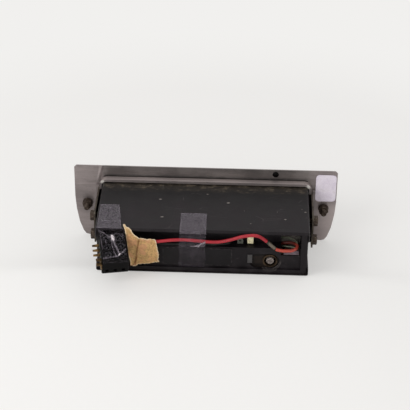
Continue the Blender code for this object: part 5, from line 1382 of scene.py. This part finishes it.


# Folds of the film on the plug: half width, height, strength of the highlight painted along it, and a line
# in shares across and down
PLUG_FOLDS = (
    (0.0005, 0.0009, 0.62, ((0.00, 0.10), (0.14, 0.17), (0.30, 0.27), (0.42, 0.33))),
    (0.0014, 0.0018, 1.30, ((0.50, 0.29), (0.53, 0.33), (0.52, 0.38))),
    (0.0008, 0.0012, 0.50, ((0.50, 0.38), (0.55, 0.48), (0.63, 0.62), (0.71, 0.79))),
    (0.0004, 0.0006, 0.40, ((0.44, 0.40), (0.46, 0.56), (0.54, 0.80))),
    (0.0005, 0.0007, 0.55, ((0.66, 0.81), (0.80, 0.74), (1.00, 0.62))),
    (0.0005, 0.0003, 0.42, ((0.04, 0.85), (0.35, 0.83), (0.70, 0.81))),
    (0.0004, 0.0003, 0.22, ((0.03, 0.24), (0.05, 0.62))),
    (0.0004, 0.0004, 0.40, ((0.56, 0.24), (0.66, 0.20), (0.82, 0.21), (1.00, 0.26))),
    (0.0003, 0.0005, 0.30, ((0.08, 0.22), (0.18, 0.34), (0.24, 0.50))),
)


def make_plug_film(tapes):
    """Wrinkled film from the cover's edge over the top of the plug and its rear edge."""
    half = PLUG_SIZE / 2
    top = half.z + 0.0007
    rear = -half.y - 0.0007
    wide, long = PLUG_FILM_SIZE

    def lay(across, down):
        x = -half.x + 0.0006 + (2 * half.x - 0.0022) * across
        start = Vector((PLUG_MIDDLE.x - 0.0140 + 0.0235 * across, REAR - 0.0001, TOP + 0.0006))
        line = [start, start + Vector((0, -0.0012, -0.0008)), plug_place(x, half.y - 0.0004, top + 0.0008),
                plug_place(x, half.y * 0.5, top), plug_place(x, -half.y + 0.0006, top),
                plug_place(x, rear, half.z - 0.0008), plug_place(x, rear, half.z - 0.0042)]
        point = along(line, down)
        over = limited((down - 0.10) / 0.2) * limited((0.93 - down) / 0.1)
        height = white = 0.0
        flat = (across * wide, down * long)
        # Each fold lifts the film and has a highlight painted along it.
        for width, rise, pale, folds in PLUG_FOLDS:
            gap = off_line(flat, *((aside * wide, under * long) for aside, under in folds))
            height += rise * ridge(gap, 1.6 * width)
            white += pale * ridge(gap, width)
        height += (0.0003 * wave((across, down * 1.3, 0), 0.16, 6.0)
                   + 0.0002 * wave((across, down, 0), 0.05, 3.0))
        white *= 0.75 + 0.5 * wave((across * 2.0, down * 2.0, 0), 0.11, 2.0)
        place = point + PLUG_TURN @ Vector((0, 0, 1)) * max(-0.0003, height) * over
        return place, limited(white * max(over, 0.8)), 0.0

    film = sheet(PLUG_FILM_CELLS, lay, tapes.film_sheet)
    finished(film, "plug_film", tape_film(), "clear_plastic")


def make_middle_film(tapes):
    """The film strip that holds the red lead, from the cover down to the lower wall."""
    low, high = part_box("clear_tape_middle")
    out = REAR - 0.0046
    line = [(high.y, TOP + 0.0004), (REAR + 0.0008, TOP + 0.0004), (REAR - 0.0005, TOP - 0.0002),
            (REAR - 0.0016, TOP - 0.0040), (out, BASE + 0.0342), (out - 0.0002, BASE + 0.0310),
            (out + 0.0012, BASE + 0.0285), (PANEL_REAR - 0.0016, BASE + 0.0225),
            (PANEL_REAR - 0.0007, BASE + 0.0175), (PANEL_REAR - 0.0007, low.z)]
    line = [Vector((0, y, z)) for y, z in line]

    def lay(across, down):
        point = along(line, down)
        step = along(line, min(1.0, down + 0.01)) - along(line, max(0.0, down - 0.01))
        normal = Vector((0, step.z, -step.y)).normalized()
        if normal.y > 0 or normal.z < -0.5:
            normal = -normal
        x = low.x + 0.0016 + (high.x - low.x - 0.0018) * across - 0.0014 * max(0.0, down - 0.4)
        x += 0.0005 * wave((down, 0, across), 0.12, 8.0)
        bridge = ridge(down - LEAD_SHARE, 0.13)
        crease = ridge(across - 0.78 + 0.5 * (down - 0.5), 0.05)
        crease += 0.8 * ridge(across - 0.42 - 0.4 * (down - 0.5), 0.04)
        height = 0.0003 * max(0.0, wave((across, down * 2.2, 0), 0.13, 4.0)) + bridge * 0.0009 * crease
        height += bridge * 0.0004 * wave((across, down, 0), 0.06, 1.0)
        # Highlights painted where the creases cross the bridge over the lead, and along the listed creases.
        white = 0.14 * bridge * crease * (0.5 + 0.5 * wave((across * 2.0, down * 2.0, 0), 0.09, 5.0))
        for pale, start, end in MIDDLE_FOLDS:
            white += pale * ridge(off_line((across, down), start, end), 0.014)
        hazy = STUCK_HAZE if down < STUCK_SHARE else LOOSE_HAZE
        return Vector((x, point.y, point.z)) + normal * max(0.0, height), limited(white), hazy

    film = sheet(MIDDLE_FILM_CELLS, lay, tapes.film_sheet)
    finished(film, "middle_film", tape_film(), "clear_plastic", "clear_tape_middle")


# Plug

# Between the columns and between the rows of the plug's wells
WELL_PITCH = (0.0115, 0.0078)
CONTACT_WIDTH = 0.0028
PRONG_LENGTH = 0.0060


def plug_matrix(x, y, z):
    return Matrix.Translation(plug_place(x, y, z)) @ PLUG_TURN.to_4x4()


def make_well_clips():
    """A dark metal ring and pin in each of the plug's round wells."""
    shape = bmesh.new()
    floor = PLUG_SIZE.z / 2 - 0.0021
    axis = PLUG_TURN @ Vector((0, 0, 1))
    ring = [(0.0023, floor), (0.0031, floor), (0.0032, floor + 0.0012), (0.0029, floor + 0.0015),
            (0.0024, floor + 0.0013)]
    pin = [(0, floor), (0.0009, floor), (0.0009, floor + 0.0011), (0.0005, floor + 0.0014),
           (0, floor + 0.0014)]
    for column in (-0.5, 0.5):
        for row in (-1, 0, 1):
            centre = plug_place(column * WELL_PITCH[0], row * WELL_PITCH[1], 0)
            lathe(shape, ring, centre, 24, True, axis)
            lathe(shape, pin, centre, 16, axis=axis)
    finished(shape, "well_clips", dark_metal(), "brass")


def make_side_contacts():
    """Two broad bent contacts below the prongs on the plug's left side."""
    shape = bmesh.new()
    side = -PLUG_SIZE.x / 2
    for number in range(2):
        y = -0.0086 - 0.0034 * number
        fall = 0.0016 * number
        block(shape, (0.0012, CONTACT_WIDTH, 0.0064), plug_matrix(side - 0.0004, y, 0.0012 - fall), 0.0004)
        block(shape, (0.0050, CONTACT_WIDTH, 0.0010), plug_matrix(side - 0.0020, y, 0.0046 - fall), 0.0003)
    finished(shape, "side_contacts", worn_brass(), "brass")


def make_prongs():
    """The three prongs at the plug's left side, each narrowed at its end."""
    for number in range(1, 4):
        node = f"plug_contact_{number}"
        low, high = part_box(node)
        shape = bmesh.new()
        matrix = Matrix.Translation((low + high) / 2) @ PLUG_TURN.to_4x4()
        made = block(shape, (PRONG_LENGTH, CONTACT_WIDTH, 0.0012), matrix, 0.0003)
        tip = matrix @ Vector((-PRONG_LENGTH / 2, 0, 0))
        for vert in made:
            if vert.is_valid and (vert.co - tip).length < 0.0022:
                local = matrix.inverted() @ vert.co
                vert.co = matrix @ Vector((local.x, local.y * 0.6, local.z * 0.7))
        finished(shape, f"prong_{number}", worn_brass(), "brass", node)


# Rear fittings

SPARE_HOLE = Vector((0.0615, 0, 0.0676))
# The grey tab on the lower wall and the pale ledge in the notch
TAB_PLACE = (0.0404, PANEL_REAR - 0.0005, BASE + 0.0142)
TAB_SIZE = (0.0040, 0.0006, 0.0084)
LEDGE_PLACE = (0.0745, PANEL_REAR + 0.0056, BASE + 0.0166)
LEDGE_SIZE = (0.0150, 0.0075, 0.0012)
# The soldered face of the antenna socket's middle contact
CONTACT_RADIUS = 0.0031


def make_socket_face():
    """The rough soldered face of the antenna socket's middle contact, and the socket's collar."""
    low, _, centre = turned_box("antenna_contact")
    front = low.y
    rows = [(CONTACT_RADIUS * step / 10, front + 0.0003) for step in range(11)]
    rows += [(0.0033, front + 0.0008), (0.0032, front + 0.0050), (0, front + 0.0050)]
    shape = lathe(bmesh.new(), rows, centre, 48)
    for vert in shape.verts:
        if vert.co.y < front + 0.0006:
            bump = wave(vert.co, 0.0013, 4.0) * 0.0005 + wave(vert.co, 0.0006, 8.0) * 0.0002
            vert.co.y -= max(-0.0002, min(0.0003, bump))
        elif vert.co.y < front + 0.0020:
            away = vert.co - centre
            vert.co += Vector((away.x, 0, away.z)) * (0.10 * wave(vert.co, 0.0020, 2.0))
    finished(shape, "socket_face", solder_face(), "zinc", "antenna_contact")
    collar = [(0.0049, front + 0.0006), (0.0056, front + 0.0002), (0.0062, front + 0.0005),
              (0.0062, front + 0.0030), (0.0049, front + 0.0030)]
    finished(lathe(bmesh.new(), collar, centre, 64, True), "socket_collar", socket_finish(), "zinc")


def make_hole_plug():
    """A dark rubber plug in the plate's spare hole."""
    back = PLATE_BACK
    front = PLATE_FRONT + 0.0001
    points = [(0, back - 0.0016), (0.0012, back - 0.0015), (0.0021, back - 0.0009), (0.0027, back - 0.0001),
              (0.0019, back - 0.0001), (0.0019, front), (0, front)]
    shape = lathe(bmesh.new(), points, SPARE_HOLE, 32)
    finished(shape, "hole_plug", plain_finish("plug_plastic"), "black_plastic")


def make_rear_tab():
    """A small grey tab on the lower wall beside the antenna hole."""
    single_block("wall_tab", TAB_SIZE, Matrix.Translation(TAB_PLACE), 0.00022, plain_finish("dull_tab"),
                 "grey_plastic")


def make_notch_ledge():
    """Pale inner ledge seen through the notch."""
    single_block("notch_ledge", LEDGE_SIZE, Matrix.Translation(LEDGE_PLACE), 0.0003,
                 plain_finish("dusty_ledge"), "zinc")


# Knobs

KNOB_RADIUS = 0.0118
KNOB_BORE = 0.0034
# How far a knob with a skirt begins in front of the skirt's back, and the skirt's bore
SKIRT_STEP = 0.0045
SKIRT_BORE = 0.0050
# The pointer line's size, and how far its middle is above the axis
MARK_SIZE = (0.0007, 0.0005, 0.0046)
MARK_OUT = 0.0055
# Radii of the tone ring's bore and stem, how wide its knurled part is, and its ribs
RING_BORE, STEM_RADIUS = 0.0028, 0.0038
KNURL_WIDTH = 0.0042
KNURL_COUNT = 60
KNURL_DEPTH = 0.0003


def ribbed(shape, centre, radius, ribs, depth, low, high):
    """Cuts ribs into the round side of a turned shape, between two places along Y."""
    for vert in shape.verts:
        away = Vector((vert.co.x - centre.x, vert.co.z - centre.z))
        if away.length > radius * 0.97 and low <= vert.co.y <= high:
            angle = math.atan2(away.y, away.x)
            groove = depth * (0.5 - 0.5 * math.cos(ribs * angle)) ** 2
            vert.co.x -= away.x / away.length * groove
            vert.co.z -= away.y / away.length * groove


def make_knob(name, node, body, skirt):
    """A ribbed knob with a dished metal cap and a pointer line, and a skirt if asked."""
    front = settings().front
    low, high, centre = turned_box(node)
    radius = KNOB_RADIUS
    back = low.y + (SKIRT_STEP if skirt else 0.0)
    face = high.y
    profile = [(KNOB_BORE, back), (radius - 0.0010, back), (radius - 0.0002, back + 0.0004),
               (radius, back + 0.0012), (radius, face - 0.0030), (radius - 0.0003, face - 0.0022),
               (radius - 0.0008, face - 0.0006), (radius - 0.0016, face), (radius - 0.0022, face),
               (radius - 0.0026, face - 0.0010), (0, face - 0.0010), (KNOB_BORE, back + 0.0100)]
    shape = lathe(bmesh.new(), profile, centre, front.rib_count * 4, True)
    ribbed(shape, centre, radius, front.rib_count, front.rib_depth, back + 0.0011, face - 0.0028)
    finished(shape, name, plain_finish("knob_plastic"), "black_plastic", node, body=body)
    rim = radius - 0.0028
    cap = [(0, face - 0.0009), (rim, face - 0.0009), (rim, face - 0.0003), (rim - 0.0005, face - 0.0001),
           (rim - 0.0012, face - 0.0003), (0, face - 0.0007)]
    finished(lathe(bmesh.new(), cap, centre, 64), name + "_cap", bright_chrome(), "chrome", body=body)
    place = Matrix.Translation(centre + Vector((0, face - 0.0004, MARK_OUT)))
    single_block(name + "_mark", MARK_SIZE, place, 0.0001, plain_finish("knob_plastic"),
                 "black_plastic", body)
    if skirt:
        wide = (high.x - low.x) / 2
        ring = [(SKIRT_BORE, low.y), (wide - 0.0004, low.y), (wide, low.y + 0.0004), (wide, low.y + 0.0030),
                (wide - 0.0006, low.y + 0.0040), (wide - 0.0020, low.y + 0.0044),
                (SKIRT_BORE, low.y + 0.0044)]
        shape = lathe(bmesh.new(), ring, centre, 96, True)
        finished(shape, name + "_skirt", bright_chrome(), "chrome", body=body)


def make_tone_ring():
    """The knurled metal ring behind the volume knob."""
    low, high, centre = turned_box("tone_ring")
    wide = (high.x - low.x) / 2
    ring_back = high.y - KNURL_WIDTH
    profile = [(RING_BORE, high.y), (wide - 0.0018, high.y), (wide - 0.0006, high.y - 0.0004),
               (wide, high.y - 0.0010), (wide, ring_back + 0.0006), (wide - 0.0006, ring_back),
               (STEM_RADIUS, ring_back), (STEM_RADIUS, low.y), (RING_BORE, low.y)]
    shape = lathe(bmesh.new(), profile, centre, 4 * KNURL_COUNT, True)
    ribbed(shape, centre, wide, KNURL_COUNT, KNURL_DEPTH, ring_back + 0.0005, high.y - 0.0009)
    finished(shape, "tone_knurl", bright_chrome(), "chrome", "tone_ring", body="tone")


# Dial and keys

# How far the print stands out from its own middle, and how near two of its points may be
INK_DEPTH = 0.00003
INK_MERGE = 0.0000001
# The dial's ticks: their width, and the two heights they come in
TICK_WIDTH = 0.00022
LONG_TICK, SHORT_TICK = 0.0016, 0.0009
# The size of the bright strip in a key
KEY_STRIP = (0.0126, 0.0006, 0.0014)
# Turns letters that lie flat so that they face +Y
FACING_FRONT = Matrix(((-1, 0, 0, 0), (0, 0, 1, 0), (0, 1, 0, 0), (0, 0, 0, 1)))
# Half the length of a row of numbers, and the rows: their numbers, their height and their ticks' height
DIAL_HALF = 0.040
DIAL_ROWS = ((("54", "60", "70", "80", "100", "120", "140", "160"), 0.0515, 0.0483),
             (("88", "92", "96", "100", "104", "108"), 0.0431, 0.0463))


def number_mesh(text, place, height):
    """A printed number that faces +Y, with its middle at place."""
    words = bpy.data.curves.new("number", "FONT")
    words.body = text
    words.size = height
    words.extrude = INK_DEPTH
    words.align_x = "CENTER"
    words.align_y = "CENTER"
    mesh = mesh_of(words)
    mesh.transform(Matrix.Translation(place) @ FACING_FRONT)
    return mesh


def make_dial_numbers(front):
    """Two rows of plain numbers with their tick marks."""
    shape = bmesh.new()
    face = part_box("dial_scale")[1].y + 0.00004
    for numbers, level, tick_level in DIAL_ROWS:
        step = 2 * DIAL_HALF / (len(numbers) - 1)
        for place, text in enumerate(numbers):
            x = DIAL_HALF - place * step
            shape.from_mesh(number_mesh(text, Vector((x, face, level)), front.number_height))
        for place in range(4 * (len(numbers) - 1) + 1):
            tall = LONG_TICK if place % 4 == 0 else SHORT_TICK
            where = Matrix.Translation((DIAL_HALF - place * step / 4, face, tick_level))
            block(shape, (TICK_WIDTH, 2 * INK_DEPTH, tall), where)
    mesh = bpy.data.meshes.new("dial_numbers")
    bmesh.ops.remove_doubles(shape, verts=shape.verts, dist=INK_MERGE)
    shape.to_mesh(mesh)
    shape.free()
    finished(mesh, "dial_numbers", plain_finish("number_ink"), "lit_scale")


def make_key_strips():
    """A thin bright strip set in the face of each key."""
    for number in range(1, 6):
        low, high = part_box(f"preset_key_{number}")
        middle = (low + high) / 2
        place = Matrix.Translation((middle.x, high.y + 0.0001, middle.z))
        single_block(f"key_strip_{number}", KEY_STRIP, place, 0.0002, bright_chrome(), "chrome",
                     f"key_{number}")


def give(finish, *names):
    """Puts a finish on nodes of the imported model."""
    for name in names:
        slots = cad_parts[name].data.materials
        slots.clear()
        slots.append(finish)


# Operators

class StudioOperator(bpy.types.Operator):
    """Set up the floor, the soft light and the camera"""
    bl_idname = "car_radio.studio"
    bl_label = "Studio"

    def execute(self, context):
        studio = settings().studio
        context.scene.view_settings.view_transform = "Standard"
        make_camera(studio)
        make_surroundings(studio)
        make_lamp(studio)
        make_floor(studio)
        return {"FINISHED"}


class SheetMetalOperator(bpy.types.Operator):
    """Finish the dash plate, the brackets and the painted housing, and close the spare hole"""
    bl_idname = "car_radio.sheet_metal"
    bl_label = "Sheet Metal"

    def execute(self, context):
        give(dash_sheet(), "dash_plate")
        give(oiled_sheet(), "left_bracket", "right_bracket")
        give(cover_paint(), "top_cover")
        give(wall_paint(), "bottom_cover", "chassis", "rear_panel")
        give(label_paper(), "paper_sticker")
        make_hole_plug()
        return {"FINISHED"}


class FastenersOperator(bpy.types.Operator):
    """Make the bolts, screws, washers and nuts"""
    bl_idname = "car_radio.fasteners"
    bl_label = "Fasteners"

    def execute(self, context):
        for side_name, side in (("left", -1), ("right", 1)):
            for level in ("upper", "lower"):
                make_bolt(f"{side_name}_{level}_bolt", side)
            make_stud(side_name)
            make_nut(side_name)
        return {"FINISHED"}


class LeadsOperator(bpy.types.Operator):
    """Make the leads at the rear"""
    bl_idname = "car_radio.leads"
    bl_label = "Leads"

    def execute(self, context):
        leads = settings().leads
        make_lead("long_lead", RED_ROUTE, leads.thick, plain_finish("red_insulation"), "red_plastic",
                  "red_lead")
        make_lead("splice_tube", SPLICE_ROUTE, leads.sleeve, sleeve_rubber(), "grey_plastic",
                  "splice_sleeve", steps=12, swell=drawn_in)
        make_lead("notch_loop", LOOP_ROUTE, leads.thick, loop_insulation(), "red_plastic", "supply_loop")
        make_lead("shelf_lead", BLACK_ROUTE, leads.thin, plain_finish("lead_black"), "black_plastic",
                  "black_lead")
        make_lead("notch_wire", WIRE_ROUTE, WIRE_RADIUS, plain_finish("pale_wire"), "grey_plastic")
        return {"FINISHED"}


class PaperTapeOperator(bpy.types.Operator):
    """Make the brown paper tape beside the plug"""
    bl_idname = "car_radio.paper_tape"
    bl_label = "Paper Tape"

    def execute(self, context):
        make_paper_tape(settings().tapes)
        return {"FINISHED"}


class FilmOperator(bpy.types.Operator):
    """Make the clear film on the cover, on the plug and over the red lead"""
    bl_idname = "car_radio.film"
    bl_label = "Clear Film"

    def execute(self, context):
        tapes = settings().tapes
        make_cover_film(tapes)
        make_plug_film(tapes)
        make_middle_film(tapes)
        return {"FINISHED"}


class PlugOperator(bpy.types.Operator):
    """Finish the plug and make its contacts"""
    bl_idname = "car_radio.plug"
    bl_label = "Plug"

    def execute(self, context):
        give(plain_finish("plug_plastic"), "plug_body")
        make_prongs()
        make_side_contacts()
        make_well_clips()
        return {"FINISHED"}


class RearFittingsOperator(bpy.types.Operator):
    """Finish and make the small parts on the rear wall and the shelf"""
    bl_idname = "car_radio.rear_fittings"
    bl_label = "Rear Fittings"

    def execute(self, context):
        give(socket_finish(), "antenna_socket")
        give(black_label(), "rear_label")
        give(plain_finish("cream_body"), "cream_capacitor")
        give(plain_finish("grey_body"), "grey_trimmer")
        make_socket_face()
        make_rear_tab()
        make_notch_ledge()
        return {"FINISHED"}


class KnobsOperator(bpy.types.Operator):
    """Make the volume and tuning knobs and the tone ring"""
    bl_idname = "car_radio.knobs"
    bl_label = "Knobs"

    def execute(self, context):
        make_knob("volume_grip", "volume_knob", "volume", False)
        make_knob("tuning_grip", "tuning_knob", "tuning", True)
        make_tone_ring()
        give(dull_plating(), "volume_shaft", "tuning_shaft", "tuning_bearing", "volume_control")
        return {"FINISHED"}


class DialOperator(bpy.types.Operator):
    """Finish the bezel, the dial and the keys, and print the dial's numbers"""
    bl_idname = "car_radio.dial"
    bl_label = "Dial and Keys"

    def execute(self, context):
        give(bezel_plating(), "bezel")
        give(clear_glass(), "dial_glass", "dial_lamp")
        give(dial_print(), "dial_scale")
        give(plain_finish("pointer_red"), "pointer")
        give(dull_plating(), "pointer_rail")
        give(plain_finish("knob_plastic"), *(f"preset_key_{number}" for number in range(1, 6)))
        make_dial_numbers(settings().front)
        make_key_strips()
        return {"FINISHED"}


class InnerPartsOperator(bpy.types.Operator):
    """Finish the parts inside the housing"""
    bl_idname = "car_radio.inner_parts"
    bl_label = "Inner Parts"

    def execute(self, context):
        give(laminate(), "circuit_board")
        give(worn_brass(), "tuning_gear")
        give(dull_plating(), "gear_axle", "core_carriage", "coil_block", "if_can_1", "if_can_2",
             "supply_capacitor", "heat_sink", "audio_transformer")
        return {"FINISHED"}


OPERATORS = (StudioOperator, SheetMetalOperator, FastenersOperator, LeadsOperator, PaperTapeOperator,
             FilmOperator, PlugOperator, RearFittingsOperator, KnobsOperator, DialOperator,
             InnerPartsOperator)


class RadioPanel(bpy.types.Panel):
    """Lists the steps that dress the radio"""
    bl_idname = "VIEW3D_PT_car_radio"
    bl_label = "Car Radio"
    bl_space_type = "VIEW_3D"
    bl_region_type = "UI"
    bl_category = "Car Radio"

    def draw(self, context):
        for operator in OPERATORS:
            self.layout.operator(operator.bl_idname)


CLASSES = (MetalSettings, LeadSettings, TapeSettings, FrontSettings, StudioSettings, RadioSettings,
           *OPERATORS, RadioPanel)


def register():
    for made in CLASSES:
        bpy.utils.register_class(made)
    bpy.types.Scene.car_radio = PointerProperty(type=RadioSettings)


def unregister():
    del bpy.types.Scene.car_radio
    for made in reversed(CLASSES):
        bpy.utils.unregister_class(made)


def main():
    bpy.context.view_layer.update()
    register()
    for operator in OPERATORS:
        group, name = operator.bl_idname.split(".")
        getattr(getattr(bpy.ops, group), name)()


if __name__ == "__main__":
    main()
